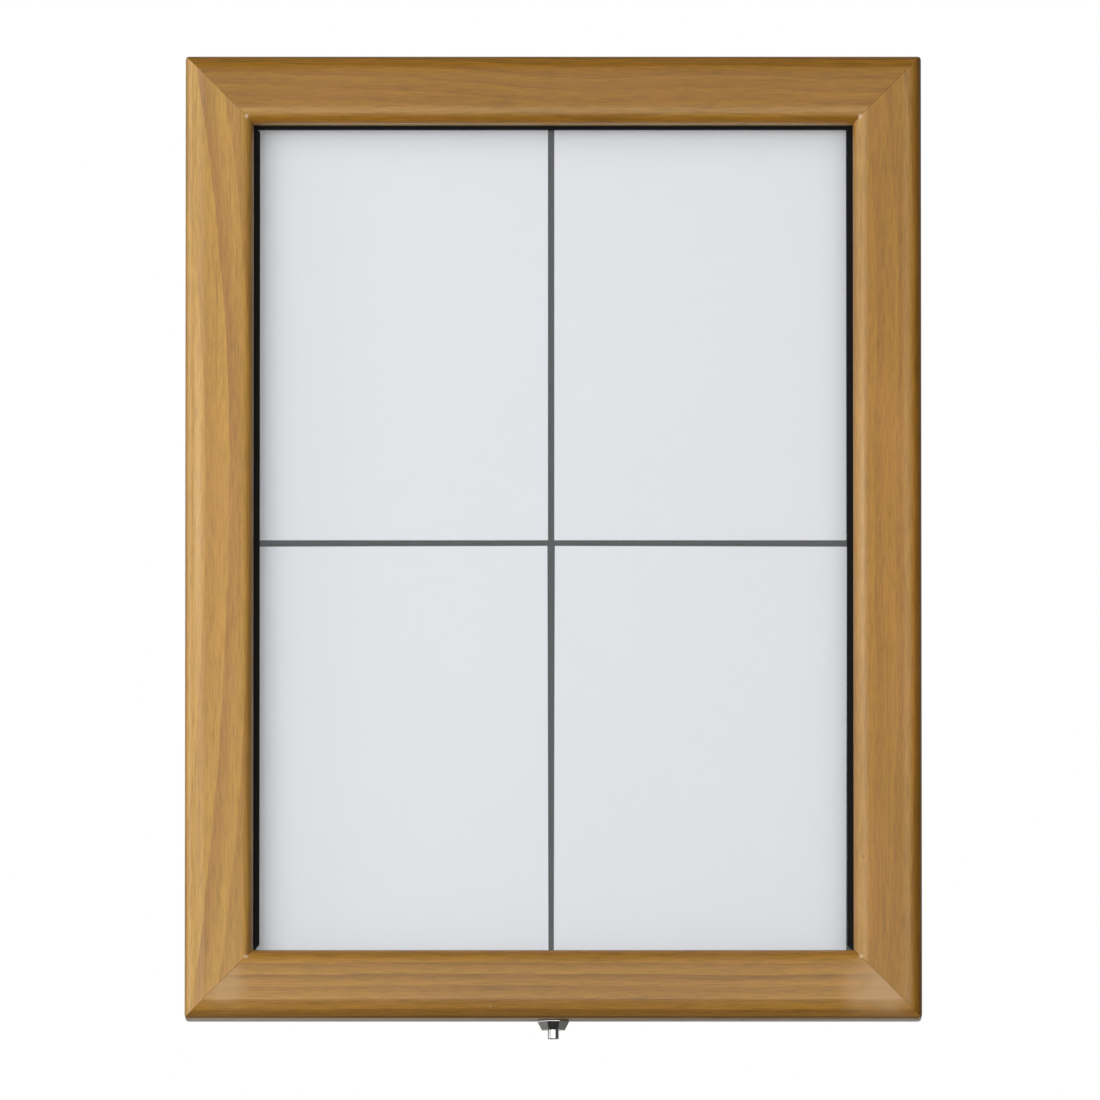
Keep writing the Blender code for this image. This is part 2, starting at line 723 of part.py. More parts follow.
def build_hinge(timber):
    """A continuous hinge: two leaves with alternate knuckles on one long pin."""
    half = HINGE_LENGTH / 2
    pitch = HINGE_LENGTH / KNUCKLE_COUNT
    leaves = {}
    for name, side, first in (("hinge_case_leaf", 1, 1), ("hinge_door_leaf", -1, 0)):
        leaf = add_object(name, extruded(name, leaf_section(side), -half, half), "steel")
        leaf.location = (0.0, HINGE_Y, HINGE_Z)
        leaf.rotation_euler = LIE_ALONG_X
        smooth(leaf)
        comb = bpy.data.meshes.new(f"comb_{name}")
        shape = bmesh.new()
        depth = 2 * (KNUCKLE_RADIUS + FIT)
        for number in range(first, KNUCKLE_COUNT, 2):
            low = -half + number * pitch - FIT / 2
            high = low + pitch + FIT
            if number == 0:
                low -= FIT
            if number == KNUCKLE_COUNT - 1:
                high += FIT
            bmesh.ops.create_cube(
                shape,
                size=1.0,
                matrix=Matrix.Translation(((low + high) / 2, 0.0, 0.0))
                @ Matrix.Diagonal((high - low, depth, depth, 1.0)),
            )
        shape.to_mesh(comb)
        shape.free()
        cutter = add_object(f"comb_{name}", comb)
        cutter.location = (0.0, HINGE_Y, HINGE_Z)
        cut(leaf, cutter)
        leaves[name] = leaf
    pin = barrel(
        "hinge_pin", (-half, HINGE_Y, HINGE_Z), (half, HINGE_Y, HINGE_Z), HINGE_PIN_RADIUS, "steel"
    )

    gain = block(
        "hinge_gain",
        (-half - FIT, HINGE_Y - KNUCKLE_RADIUS - FIT, LEAF_BOTTOM - FIT),
        (half + FIT, TIMBER_REAR + FIT, DOOR_HEIGHT / 2 + FIT),
    )
    cut(timber["top"], gain)

    case_pieces = [leaves["hinge_case_leaf"], pin]
    door_pieces = [leaves["hinge_door_leaf"]]
    leaf_front = FOOT_REAR - LEAF_THICKNESS
    rivet_seat = leaf_front - FIT
    for number, x in enumerate(hinge_hole_places(0.0), start=1):
        seat = Vector((x, rivet_seat, LEAF_HOLE_Z))
        rivet = fastener(
            f"hinge_rivet_{number}",
            seat,
            FORWARD,
            RIVET_RADIUS,
            -rivet_seat - FIT,
            RIVET_HEAD_RADIUS,
            RIVET_HEAD_HEIGHT,
            "aluminium",
        )
        case_pieces.append(rivet)
        hole = barrel(f"hole_hinge_rivet_{number}", seat, (x, FIT, LEAF_HOLE_Z), RIVET_RADIUS + FIT)
        cut(leaves["hinge_case_leaf"], hole)
    door_leaf_rear = HINGE_Y - KNUCKLE_RADIUS + LEAF_THICKNESS
    for number, x in enumerate(hinge_hole_places(HINGE_SCREW_SHIFT), start=1):
        seat = Vector((x, door_leaf_rear + FIT, LEAF_HOLE_Z))
        screw = fastener(
            f"hinge_screw_{number}",
            seat,
            REARWARD,
            SCREW_RADIUS,
            HINGE_SCREW_LENGTH,
            HINGE_SCREW_HEAD,
            HINGE_SCREW_HEAD_HEIGHT,
        )
        door_pieces.append(screw)
        tip = seat + FORWARD * (HINGE_SCREW_LENGTH + FIT)
        hole = barrel(f"hole_hinge_screw_{number}", seat + REARWARD * FIT, tip, SCREW_RADIUS + FIT)
        cut(leaves["hinge_door_leaf"], hole)
        cut(timber["top"], hole)
    return case_pieces, door_pieces


# Lock

def lock_point(z):
    return Vector((0.0, LOCK_Y, z))


def corner_radius(across_flats, corners):
    return across_flats / 2 / math.cos(math.pi / corners)


def build_lock_housing(timber):
    """The faceted collar and threaded housing in the bottom rail, and the nut inside."""
    collar_end = DOOR_BOTTOM - FIT - COLLAR_HEIGHT
    rim_end = DOOR_BOTTOM - FIT - COLLAR_RIM
    top_radius = corner_radius(COLLAR_TOP_ACROSS, COLLAR_SIDES)
    body = barrel(
        "lock_body",
        lock_point(collar_end),
        lock_point(rim_end),
        corner_radius(COLLAR_BOTTOM_ACROSS, COLLAR_SIDES),
        "chrome",
        segments=COLLAR_SIDES,
        end_radius=top_radius,
    )
    rim = barrel(
        "lock_rim",
        lock_point(rim_end - FIT),
        lock_point(DOOR_BOTTOM - FIT),
        top_radius,
        segments=COLLAR_SIDES,
    )
    housing = barrel(
        "lock_housing",
        lock_point(collar_end + COLLAR_RIM),
        lock_point(NUT_TOP + FIT),
        HOUSING_RADIUS,
        segments=BARREL_SEGMENTS,
    )
    bore = barrel(
        "lock_bore",
        lock_point(collar_end - COLLAR_RIM),
        lock_point(NUT_TOP + COLLAR_RIM),
        STEM_RADIUS + FIT,
        segments=BARREL_SEGMENTS,
    )
    cut(body, rim, "UNION")
    cut(body, housing, "UNION")
    cut(body, bore)

    nut = barrel(
        "lock_nut",
        lock_point(NUT_BOTTOM),
        lock_point(NUT_TOP),
        corner_radius(NUT_ACROSS_FLATS, NUT_SIDES),
        "steel",
        segments=NUT_SIDES,
    )
    thread = barrel(
        "nut_bore",
        lock_point(NUT_BOTTOM - COLLAR_RIM),
        lock_point(NUT_TOP + COLLAR_RIM),
        HOUSING_RADIUS + FIT,
        segments=BARREL_SEGMENTS,
    )
    cut(nut, thread)

    rail = timber["bottom"]
    hole = barrel(
        "rail_lock_hole",
        lock_point(DOOR_BOTTOM - COLLAR_RIM),
        lock_point(RAIL_INSIDE + COLLAR_RIM),
        HOUSING_RADIUS + FIT,
        segments=BARREL_SEGMENTS,
    )
    pocket = barrel(
        "rail_lock_pocket",
        lock_point(RAIL_INSIDE),
        lock_point(POCKET_TOP),
        corner_radius(NUT_ACROSS_FLATS, NUT_SIDES) + POCKET_MARGIN,
        segments=BARREL_SEGMENTS,
    )
    cut(rail, hole)
    cut(rail, pocket)
    return [body, nut]


def cam_outline():
    """A round hub and a round-ended arm that points at the wall."""
    half = CAM_WIDTH / 2
    meet = math.degrees(math.asin(half / CAM_HUB_RADIUS))
    hub = arc((0.0, 0.0), CAM_HUB_RADIUS, 90 + meet, 450 - meet, 3 * ROUND_STEPS)
    tip = arc((0.0, CAM_REACH - half), half, 0, 180, 2 * ROUND_STEPS)
    return hub + tip


def square(side):
    half = side / 2
    return [(-half, -half), (half, -half), (half, half), (-half, half)]


def build_lock_plug():
    """The stem that the key turns, the cam on its square tang, and the cam's screw."""
    screw_bore = CAM_SCREW_RADIUS + FIT
    stem = barrel(
        "lock_stem", lock_point(STEM_END), lock_point(STEM_SHOULDER), STEM_RADIUS, "chrome",
        segments=BARREL_SEGMENTS,
    )
    tang = block(
        "stem_tang",
        (-CAM_TANG / 2, LOCK_Y - CAM_TANG / 2, STEM_SHOULDER - CAM_THICKNESS),
        (CAM_TANG / 2, LOCK_Y + CAM_TANG / 2, CAM_TOP - FIT),
    )
    bore = barrel(
        "stem_bore",
        lock_point(CAM_SCREW_SEAT - CAM_SCREW_LENGTH - FIT),
        lock_point(CAM_SCREW_SEAT),
        screw_bore,
    )
    keyway = block(
        "stem_keyway",
        (-KEYWAY_LENGTH / 2, LOCK_Y - KEYWAY_WIDTH / 2, STEM_END - FIT),
        (KEYWAY_LENGTH / 2, LOCK_Y + KEYWAY_WIDTH / 2, STEM_END + KEYWAY_DEPTH),
    )
    cut(stem, tang, "UNION")
    cut(stem, bore)
    cut(stem, keyway)

    mesh = extruded(
        "lock_cam", [cam_outline(), square(CAM_TANG + 2 * FIT)], CAM_BOTTOM, CAM_TOP
    )
    cam = add_object("lock_cam", mesh, "steel")
    cam.location = (0.0, LOCK_Y, 0.0)
    screw = fastener(
        "lock_cam_screw",
        lock_point(CAM_SCREW_SEAT),
        UPWARD,
        CAM_SCREW_RADIUS,
        CAM_SCREW_LENGTH,
        CAM_SCREW_HEAD,
        CAM_SCREW_HEAD_HEIGHT,
    )
    return [stem, cam, screw]


def build_keeper(walls):
    """The bent plate under the case wall, to the left of the lock, and its rivet."""
    base_top = DOOR_BOTTOM + CASE_WALL_OUTSIDE - FIT
    base_bottom = base_top - SHEET_METAL
    flange_rear = LOCK_Y - CAM_WIDTH / 2 - KEEPER_SLACK
    flange_front = flange_rear - SHEET_METAL
    flange_top = DOOR_BOTTOM + RETAINER_OUTSIDE - KEEPER_TO_RETAINER
    section = [
        (flange_front, base_bottom),
        (flange_rear + KEEPER_BASE_DEPTH, base_bottom),
        (flange_rear + KEEPER_BASE_DEPTH, base_top),
        (flange_rear, base_top),
        (flange_rear, flange_top),
        (flange_front, flange_top),
    ]
    finger_end = CAM_HUB_RADIUS + KEEPER_TO_HUB
    mesh = extruded("lock_keeper", [section], -KEEPER_FAR, -finger_end)
    keeper = add_object("lock_keeper", mesh, "steel")
    keeper.rotation_euler = LIE_ALONG_X
    under_finger = block(
        "under_finger",
        (-NOTCH_HALF, flange_front - SHEET_METAL, base_bottom - SHEET_METAL),
        (0.0, flange_rear + KEEPER_BASE_DEPTH + SHEET_METAL, NUT_TOP + 2 * FIT),
    )
    cut(keeper, under_finger)

    rivet_x = -(NOTCH_HALF + KEEPER_FAR) / 2
    rivet_y = (CASE_WALL_FRONT + flange_rear + KEEPER_BASE_DEPTH) / 2
    seat = Vector((rivet_x, rivet_y, CASE_WALL_TOP_SIDE + FIT))
    rivet = fastener(
        "keeper_rivet",
        seat,
        UPWARD,
        RIVET_RADIUS,
        seat.z - base_bottom - FIT,
        RIVET_HEAD_RADIUS,
        RIVET_HEAD_HEIGHT,
        "aluminium",
    )
    hole = barrel(
        "hole_keeper_rivet", (rivet_x, rivet_y, base_bottom - FIT), seat, RIVET_RADIUS + FIT
    )
    cut(keeper, hole)
    cut(walls["bottom_left"], hole)
    return [keeper, rivet]


def pivot(name, place, parent=None):
    """An empty on a joint's axis."""
    obj = bpy.data.objects.new(name, None)
    obj.empty_display_size = FACE_WIDTH
    parts.objects.link(obj)
    obj.location = place
    if parent is not None:
        hang([obj], parent)
    return obj


def hang(pieces, parent):
    """Parent pieces to an empty and leave them where they are."""
    bpy.context.view_layer.update()
    for piece in pieces:
        piece.parent = parent
        piece.matrix_parent_inverse = parent.matrix_world.inverted()


timber = build_timber()
splines = build_splines(timber)
glazing = build_glazing(timber)
case, walls = build_case()
display = build_display()
hinge_on_case, hinge_on_door = build_hinge(timber)
housing = build_lock_housing(timber)
plug = build_lock_plug()
keeper = build_keeper(walls)

door_pivot = pivot("door_pivot", (0.0, HINGE_Y, HINGE_Z))
lock_pivot = pivot("lock_pivot", lock_point(DOOR_BOTTOM), door_pivot)
hang([*timber.values(), *splines, *glazing, *hinge_on_door, *housing], door_pivot)
hang(plug, lock_pivot)
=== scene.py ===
"""A wall-hung information display case, made up piece by piece round its fixed solids.

The wall is the plane y = 0, the front faces -y, +x is to the right and +z is up. All sizes are
in metres. The case is screwed to the wall, and the glazed timber door swings up on a hinge
along its top edge and locks at the middle of its bottom edge.
"""

import math

import bpy
from mathutils import Matrix, Vector


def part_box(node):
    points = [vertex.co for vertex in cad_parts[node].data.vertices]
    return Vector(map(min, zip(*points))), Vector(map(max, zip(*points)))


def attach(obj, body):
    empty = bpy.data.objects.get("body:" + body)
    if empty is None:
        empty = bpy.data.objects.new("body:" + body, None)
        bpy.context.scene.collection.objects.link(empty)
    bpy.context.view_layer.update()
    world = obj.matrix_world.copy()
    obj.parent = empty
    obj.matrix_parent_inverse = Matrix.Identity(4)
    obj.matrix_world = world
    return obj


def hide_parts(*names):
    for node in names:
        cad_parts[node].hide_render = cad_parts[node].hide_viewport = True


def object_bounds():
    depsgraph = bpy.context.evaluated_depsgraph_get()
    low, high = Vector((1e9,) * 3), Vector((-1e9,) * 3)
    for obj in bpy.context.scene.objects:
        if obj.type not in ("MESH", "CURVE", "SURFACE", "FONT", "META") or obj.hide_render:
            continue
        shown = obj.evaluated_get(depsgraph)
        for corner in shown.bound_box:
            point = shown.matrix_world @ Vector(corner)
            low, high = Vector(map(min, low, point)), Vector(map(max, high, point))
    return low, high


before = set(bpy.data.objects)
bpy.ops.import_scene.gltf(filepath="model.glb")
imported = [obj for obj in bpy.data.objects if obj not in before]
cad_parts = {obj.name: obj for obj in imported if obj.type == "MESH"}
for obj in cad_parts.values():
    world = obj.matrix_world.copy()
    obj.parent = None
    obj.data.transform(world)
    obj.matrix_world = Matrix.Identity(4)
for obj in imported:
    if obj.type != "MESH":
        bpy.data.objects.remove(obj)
solids_low, solids_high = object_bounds()


# The view and the studio. A long lens stands far off and a little below the case, so a sliver of
# the door's underside shows. A big soft lamp stands at the front left and one at the left side,
# three weak ones before the case. The room is bright before and behind it, and white to the
# camera. Metal mirrors a dark card on the floor.
VIEW_DISTANCE = 20.0
VIEW_ELEVATION = math.radians(-5.5)
VIEW_SPAN = 0.7902
VIEW_AIM = Vector((-0.0024, -0.034, -0.0096))
SENSOR = 36.0
LAMPS = {  # place, width and height, watts
    "key_lamp": ((-1.7, -3.9, 0.10), (2.3, 2.2), 41.0),
    "strip_lamp": ((-1.15, -1.40, 0.19), (0.85, 0.16), 3.6),
    "side_lamp": ((-3.8, -0.5, 0.3), (3.0, 4.5), 76.0),
    "fill_lamp": ((1.9, -3.6, -0.25), (1.2, 1.8), 7.5),
    "low_lamp": ((0.0, -1.8, -0.36), (1.6, 0.22), 3.6),
}
ROOM_BEFORE = 1.70
ROOM_BEFORE_REACH = (0.53, 1.0)
ROOM_AT_SIDES = 0.045
ROOM_BEHIND = 0.55
ROOM_BEHIND_REACH = (0.1, 0.9)
WHITE_BEHIND = (0.97, 0.99)
WHITE = (1.0, 1.0, 1.0, 1.0)
FLOOR_DROP = 0.75
FLOOR_RADIUS = 7.0
FLOOR_SIDES = 96
FLOOR_FADE = (1.2, 6.5)
FLOOR_COLOUR = (0.76, 0.76, 0.76, 1.0)
FLOOR_IN_GLOSS = (0.42, 0.40, 0.36, 1.0)
DARK_CARD = (0.02, 0.02, 0.02, 1.0)
DARK_CARD_PLACE = (0.0, -0.62, 0.0)
DARK_CARD_REACH = (0.40, 0.55)


class Reading:
    """A number or colour read from a node. Sums on a number add Math nodes."""

    def __init__(self, finish, socket):
        self.finish = finish
        self.socket = socket

    def maths(self, operation, *values):
        return self.finish.node("Math", {"operation": operation}, dict(enumerate(values)))

    def __add__(self, other):
        return self.maths("ADD", self, other)

    def __sub__(self, other):
        return self.maths("SUBTRACT", self, other)

    def __rsub__(self, other):
        return self.maths("SUBTRACT", other, self)

    def __mul__(self, other):
        return self.maths("MULTIPLY", self, other)

    def __truediv__(self, other):
        return self.maths("DIVIDE", self, other)

    __radd__ = __add__
    __rmul__ = __mul__


class Finish:
    """The nodes of one material, or of the room."""

    def __init__(self, name, owner=None):
        self.material = owner or bpy.data.materials.new(name)
        self.material.use_nodes = True
        self.tree = self.material.node_tree

    def feed(self, made, inputs):
        """Set or link the sockets of a node."""
        for name, value in inputs.items():
            if isinstance(value, Reading):
                self.tree.links.new(value.socket, made.inputs[name])
            else:
                made.inputs[name].default_value = value

    def node(self, kind, settings=None, inputs=None, output=0):
        """Add a node: first its settings, then the values or links of its sockets."""
        made = self.tree.nodes.new(f"ShaderNode{kind}")
        for name, value in (settings or {}).items():
            setattr(made, name, value)
        self.feed(made, inputs or {})
        return Reading(self, made.outputs[output])

    def place(self, scale=(1.0, 1.0, 1.0), turn=(0.0, 0.0, 0.0)):
        """The piece's own coordinates, stretched or turned."""
        here = self.node("TexCoord", output="Object")
        return self.node("Mapping", None, {"Vector": here, "Scale": scale, "Rotation": turn})

    def point(self, x, y, z):
        return self.node("CombineXYZ", None, {0: x, 1: y, 2: z})

    def distance(self, here, there=(0.0, 0.0, 0.0)):
        """How far one place is from another."""
        return self.node("VectorMath", {"operation": "DISTANCE"}, {0: here, 1: there}, output="Value")

    def noise(self, where, scale, detail=2.0, roughness=0.5):
        """Soft noise from 0 to 1."""
        inputs = {"Vector": where, "Scale": scale, "Detail": detail, "Roughness": roughness}
        return self.node("TexNoise", {"noise_dimensions": "3D"}, inputs)

    def between(self, value, low, high, start=0.0, end=1.0):
        """Ease a number from start to end as it goes from low to high."""
        limits = {"From Min": low, "From Max": high, "To Min": start, "To Max": end}
        return self.node("MapRange", {"interpolation_type": "SMOOTHSTEP"}, {"Value": value, **limits})

    def mix(self, low, high, share, kind="MIX"):
        """Blend two colours by a share."""
        settings = {"data_type": "RGBA", "blend_type": kind}
        return self.node("Mix", settings, {0: share, 6: low, 7: high}, output=2)

    def bump(self, height, strength, distance):
        inputs = {"Height": height, "Strength": strength, "Distance": distance}
        return self.node("Bump", None, inputs, output="Normal")

    def surface(self, **sockets):
        """Set the shader's sockets; underscores stand for spaces."""
        shader = self.tree.nodes["Principled BSDF"]
        self.feed(shader, {name.replace("_", " "): value for name, value in sockets.items()})
        return Reading(self, shader.outputs[0])

    def show(self, surface):
        """Show a mix of shaders in place of the plain one."""
        self.feed(self.tree.nodes["Material Output"], {"Surface": surface})


scene = bpy.context.scene
scene.view_settings.view_transform = "Standard"
toward_camera = Vector((0.0, -math.cos(VIEW_ELEVATION), math.sin(VIEW_ELEVATION)))
lens = bpy.data.cameras.new("view")
lens.sensor_width = SENSOR
lens.lens = SENSOR * VIEW_DISTANCE / VIEW_SPAN
lens.clip_end = 4 * VIEW_DISTANCE
camera = bpy.data.objects.new("view", lens)
camera.location = VIEW_AIM + toward_camera * VIEW_DISTANCE
camera.rotation_euler = (-toward_camera).to_track_quat("-Z", "Y").to_euler()
scene.collection.objects.link(camera)
scene.camera = camera

for name, (spot, size, watts) in LAMPS.items():
    lamp = bpy.data.lights.new(name, "AREA")
    lamp.shape = "RECTANGLE"
    lamp.size, lamp.size_y = size
    lamp.energy = watts
    holder = bpy.data.objects.new(name, lamp)
    holder.location = spot
    holder.rotation_euler = (-Vector(spot)).to_track_quat("-Z", "Y").to_euler()
    scene.collection.objects.link(holder)

room = bpy.data.worlds.new("room")
scene.world = room
air = Finish("room", room)
facing = air.node("SeparateXYZ", None, {0: air.node("TexCoord", output="Generated")}, output="Y")
before = air.between(0.0 - facing, *ROOM_BEFORE_REACH, 0.0, ROOM_BEFORE - ROOM_AT_SIDES)
behind = air.between(facing, *ROOM_BEHIND_REACH, 0.0, ROOM_BEHIND - ROOM_AT_SIDES)
level = before + behind + ROOM_AT_SIDES
mirrored = air.node("LightPath", output="Is Glossy Ray")
mirrored = mirrored + air.node("LightPath", output="Is Transmission Ray")
seen = air.node("LightPath", output="Is Camera Ray") + mirrored * air.between(facing, *WHITE_BEHIND)
lit = air.node("Background", None, {"Color": level, "Strength": 1.0})
white = air.node("Background", None, {"Color": WHITE, "Strength": 1.0})
shown = air.node("MixShader", None, {0: seen, 1: lit, 2: white})
air.feed(air.tree.nodes["World Output"], {"Surface": shown})

bpy.ops.mesh.primitive_circle_add(vertices=FLOOR_SIDES, radius=FLOOR_RADIUS, fill_type="NGON",
                                  location=(0.0, 0.0, solids_low.z - FLOOR_DROP))
floor = bpy.context.object
floor.name = "floor"
pale = Finish("pale_floor")
on_floor = pale.node("TexCoord", output="Object")
fade = pale.between(pale.distance(on_floor), *FLOOR_FADE)
seen = pale.node("LightPath", output="Is Camera Ray")
on_card = pale.between(pale.distance(on_floor, DARK_CARD_PLACE), *DARK_CARD_REACH, 1.0, 0.0)
in_gloss = pale.mix(FLOOR_IN_GLOSS, DARK_CARD, on_card * pale.node("LightPath", output="Is Glossy Ray"))
plain = pale.surface(Base_Color=pale.mix(in_gloss, FLOOR_COLOUR, seen), Roughness=0.8)
below = pale.node("NewGeometry", output="Backfacing")
glow = pale.node("Emission", None, {"Color": WHITE, "Strength": 1.0})
faded = pale.node("MixShader", None, {0: fade * seen, 1: plain, 2: glow})
unseen = pale.node("BsdfTransparent")
pale.show(pale.node("MixShader", None, {0: below, 1: faded, 2: unseen}))
floor.data.materials.append(pale.material)


# The door's timber. Four pine mouldings of one section, stained and lacquered, are mitred at
# the corners. Each has a flattened round on its outer and inner front edges, a rebate behind
# for the glazing, and a side wall that wraps over the case.
HALF_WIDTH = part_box("door_stile_right")[1].x
HALF_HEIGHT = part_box("door_rail_top")[1].z
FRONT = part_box("door_stile_right")[0].y
TIMBER_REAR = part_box("door_stile_right")[1].y
FACE_WIDTH = HALF_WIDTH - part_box("door_stile_right")[0].x
SIDE_WALL = 0.018
OUTER_ROUND = (0.015, 0.010)
INNER_ROUND = (0.012, 0.009)
ROUND_STEPS = 22
CORNER_EASE = 0.003
CORNER_STEPS = 6
MITRE_SHUT = 0.00006
SANDED = 0.00013
SHARP_ABOVE = math.radians(30)
FIT = 0.0003


def ellipse(centre, reach, first, last, steps):
    """Points along part of an ellipse; reach is its two half sizes, angles are in degrees."""
    points = []
    for step in range(steps + 1):
        angle = math.radians(first + (last - first) * step / steps)
        points.append((centre[0] + reach[0] * math.cos(angle), centre[1] + reach[1] * math.sin(angle)))
    return points


def apply_place():
    """Move the selected piece's place, turn and scale into its mesh."""
    bpy.ops.object.transform_apply(location=True, rotation=True, scale=True)


def draw(name, outline):
    """Draw an outline in x and y by extruding a point along it, and fill it."""
    bpy.ops.mesh.primitive_plane_add(size=0.001, location=(*outline[0], 0.0))
    piece = bpy.context.object
    piece.name = name
    apply_place()
    bpy.ops.object.mode_set(mode="EDIT")
    bpy.ops.mesh.select_mode(type="VERT")
    bpy.ops.mesh.select_all(action="SELECT")
    bpy.ops.mesh.merge(type="CENTER")
    for (x, y), (next_x, next_y) in zip(outline, outline[1:]):
        bpy.ops.mesh.extrude_region_move(TRANSFORM_OT_translate={"value": (next_x - x, next_y - y, 0.0)})
    bpy.ops.mesh.select_all(action="SELECT")
    bpy.ops.mesh.edge_face_add()
    return piece


def run_out(low, high):
    """Draw the selected outline out along z, from low to high."""
    bpy.ops.transform.translate(value=(0.0, 0.0, low))
    bpy.ops.mesh.extrude_region_move(TRANSFORM_OT_translate={"value": (0.0, 0.0, high - low)})
    bpy.ops.mesh.select_all(action="SELECT")
    bpy.ops.mesh.normals_make_consistent(inside=False)


def saw(point, outward):
    """Saw off what lies beyond a plane, and close the cut."""
    bpy.ops.mesh.select_all(action="SELECT")
    bpy.ops.mesh.bisect(plane_co=point, plane_no=outward, use_fill=True, clear_outer=True)


def turn_into_place(piece, side):
    """Bring a strip drawn along z, with x inwards from the door's edge, to its side of the door."""
    turns = {"left": 0.0, "top": 90.0, "right": 180.0, "bottom": 270.0}
    edges = {
        "left": (-HALF_WIDTH, 0.0, 0.0),
        "top": (0.0, 0.0, HALF_HEIGHT),
        "right": (HALF_WIDTH, 0.0, 0.0),
        "bottom": (0.0, 0.0, -HALF_HEIGHT),
    }
    bpy.ops.object.mode_set(mode="OBJECT")
    piece.rotation_euler = (0.0, math.radians(turns[side]), 0.0)
    piece.location = edges[side]
    apply_place()


def length_of(side):
    return 2 * (HALF_HEIGHT if side in ("left", "right") else HALF_WIDTH)


def mitred(name, side, outline, ease=0.0, ends=(None, None)):
    """A strip along one side of the door, mitred at the corners or cut square at a given end."""
    length = length_of(side)
    piece = draw(name, outline)
    run_out(-length / 2, length / 2)
    for sign, end in zip((-1, 1), ends):
        if end is not None:
            saw((0.0, 0.0, end), (0.0, 0.0, sign))
            continue
        saw((0.0, 0.0, sign * (length / 2 - MITRE_SHUT)), (1.0, 0.0, sign))
        for step in range(1, CORNER_STEPS + 1 if ease else 1):
            angle = math.radians(45) * step / CORNER_STEPS
            lean = Vector((-math.cos(angle), 0.0, sign * math.sin(angle)))
            saw(Vector((ease, 0.0, sign * (length / 2 - ease))) + ease * lean, lean)
    turn_into_place(piece, side)
    return piece


def only(piece):
    """Select one piece alone, in object mode."""
    if bpy.context.mode != "OBJECT":
        bpy.ops.object.mode_set(mode="OBJECT")
    bpy.ops.object.select_all(action="DESELECT")
    piece.select_set(True)
    bpy.context.view_layer.objects.active = piece


def combine(piece, other, operation):
    """Cut a piece with another shape, join them or keep what they share; remove the other."""
    only(piece)
    step = piece.modifiers.new("combine", "BOOLEAN")
    step.operation = operation
    step.object = other
    bpy.ops.object.modifier_apply(modifier=step.name)
    bpy.data.objects.remove(other, do_unlink=True)


def take_away(piece, cutter):
    combine(piece, cutter, "DIFFERENCE")


def box_shape(name, low, high):
    """A cube at its size and place."""
    low, high = Vector(low), Vector(high)
    bpy.ops.mesh.primitive_cube_add(size=1.0, location=(low + high) / 2, scale=high - low)
    piece = bpy.context.object
    piece.name = name
    apply_place()
    return piece


def rod_shape(name, start, end, radius, sides=48, end_radius=None):
    """A cylinder or a cone from one point to another."""
    run = Vector(end) - Vector(start)
    bpy.ops.mesh.primitive_cone_add(vertices=sides, radius1=radius, depth=run.length,
                                    radius2=radius if end_radius is None else end_radius)
    piece = bpy.context.object
    piece.name = name
    spin = Matrix.Rotation(math.pi / sides, 4, "Z")
    piece.matrix_world = (Matrix.Translation((Vector(start) + Vector(end)) / 2)
                          @ run.to_track_quat("Z", "Y").to_matrix().to_4x4() @ spin)
    apply_place()
    return piece


def finish_edges(piece, width=0.0, segments=2):
    """Ease a piece's corners and shade its round faces smooth."""
    only(piece)
    if width:
        ease = piece.modifiers.new("eased_edges", "BEVEL")
        ease.width = width
        ease.segments = segments
        ease.limit_method = "ANGLE"
        ease.angle_limit = SHARP_ABOVE
        bpy.ops.object.modifier_apply(modifier=ease.name)
    bpy.ops.object.shade_smooth_by_angle(angle=SHARP_ABOVE)
    steady = piece.modifiers.new("steady_normals", "WEIGHTED_NORMAL")
    steady.keep_sharp = True
    bpy.ops.object.modifier_apply(modifier=steady.name)


def fit(piece, finish, body, slot, *solids):
    """Give a piece its finish, and let it move with its body in place of its solids."""
    piece.data.materials.clear()
    piece.data.materials.append(finish.material)
    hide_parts(*solids)
    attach(piece, body)


BOW_MIDDLE = 0.012
DRIFT_SCALE = 3.0
WOBBLE_SCALE = 12.0
SWIRL_SCALE = (18.0, 4.0)
FIBRE_SCALE = (820.0, 60.0)
THREAD_SCALE = (400.0, 15.0)
STREAK_SCALE = (190.0, 4.0)
CLOUD_SCALE = (30.0, 11.0)
LACQUER_SCALE = 260.0
GOLDEN = ((0.446, 0.238, 0.047, 1.0), (0.330, 0.154, 0.035, 1.0), (0.388, 0.192, 0.051, 1.0))
AMBER = ((0.350, 0.162, 0.018, 1.0), (0.285, 0.120, 0.016, 1.0), (0.365, 0.165, 0.036, 1.0))
UMBER = ((0.288, 0.130, 0.011, 1.0), (0.218, 0.089, 0.009, 1.0), (0.273, 0.116, 0.017, 1.0))
HONEY = ((0.355, 0.175, 0.028, 1.0), (0.216, 0.098, 0.020, 1.0), (0.308, 0.141, 0.038, 1.0))
# The first paints arrises paler, for wear and for painted highlights and light; the second darker, for a
# grain line and painted shade.
PALE_WEAR_AND_PAINTED_LIGHT = (0.56, 0.36, 0.145, 1.0)
DARK_GRAIN_AND_PAINTED_SHADE = (0.0, 0.0, 0.0, 1.0)
KNOT_BROWN = (0.10, 0.035, 0.012, 1.0)
# Pale for a speck in the wood and for painted glints where the inner rounds meet at the mitres.
PALE_SPECK_AND_GLINT = (0.78, 0.60, 0.40, 1.0)
# A painted sheen on the bottom rail beside its mitres.
PAINTED_SHEEN_PINK = (0.47, 0.285, 0.140, 1.0)
MITRE_GLINT_IN = 0.0053
MITRE_GLINT_DEEP = 0.0023
MITRE_GLINT_SIZE = 0.0019


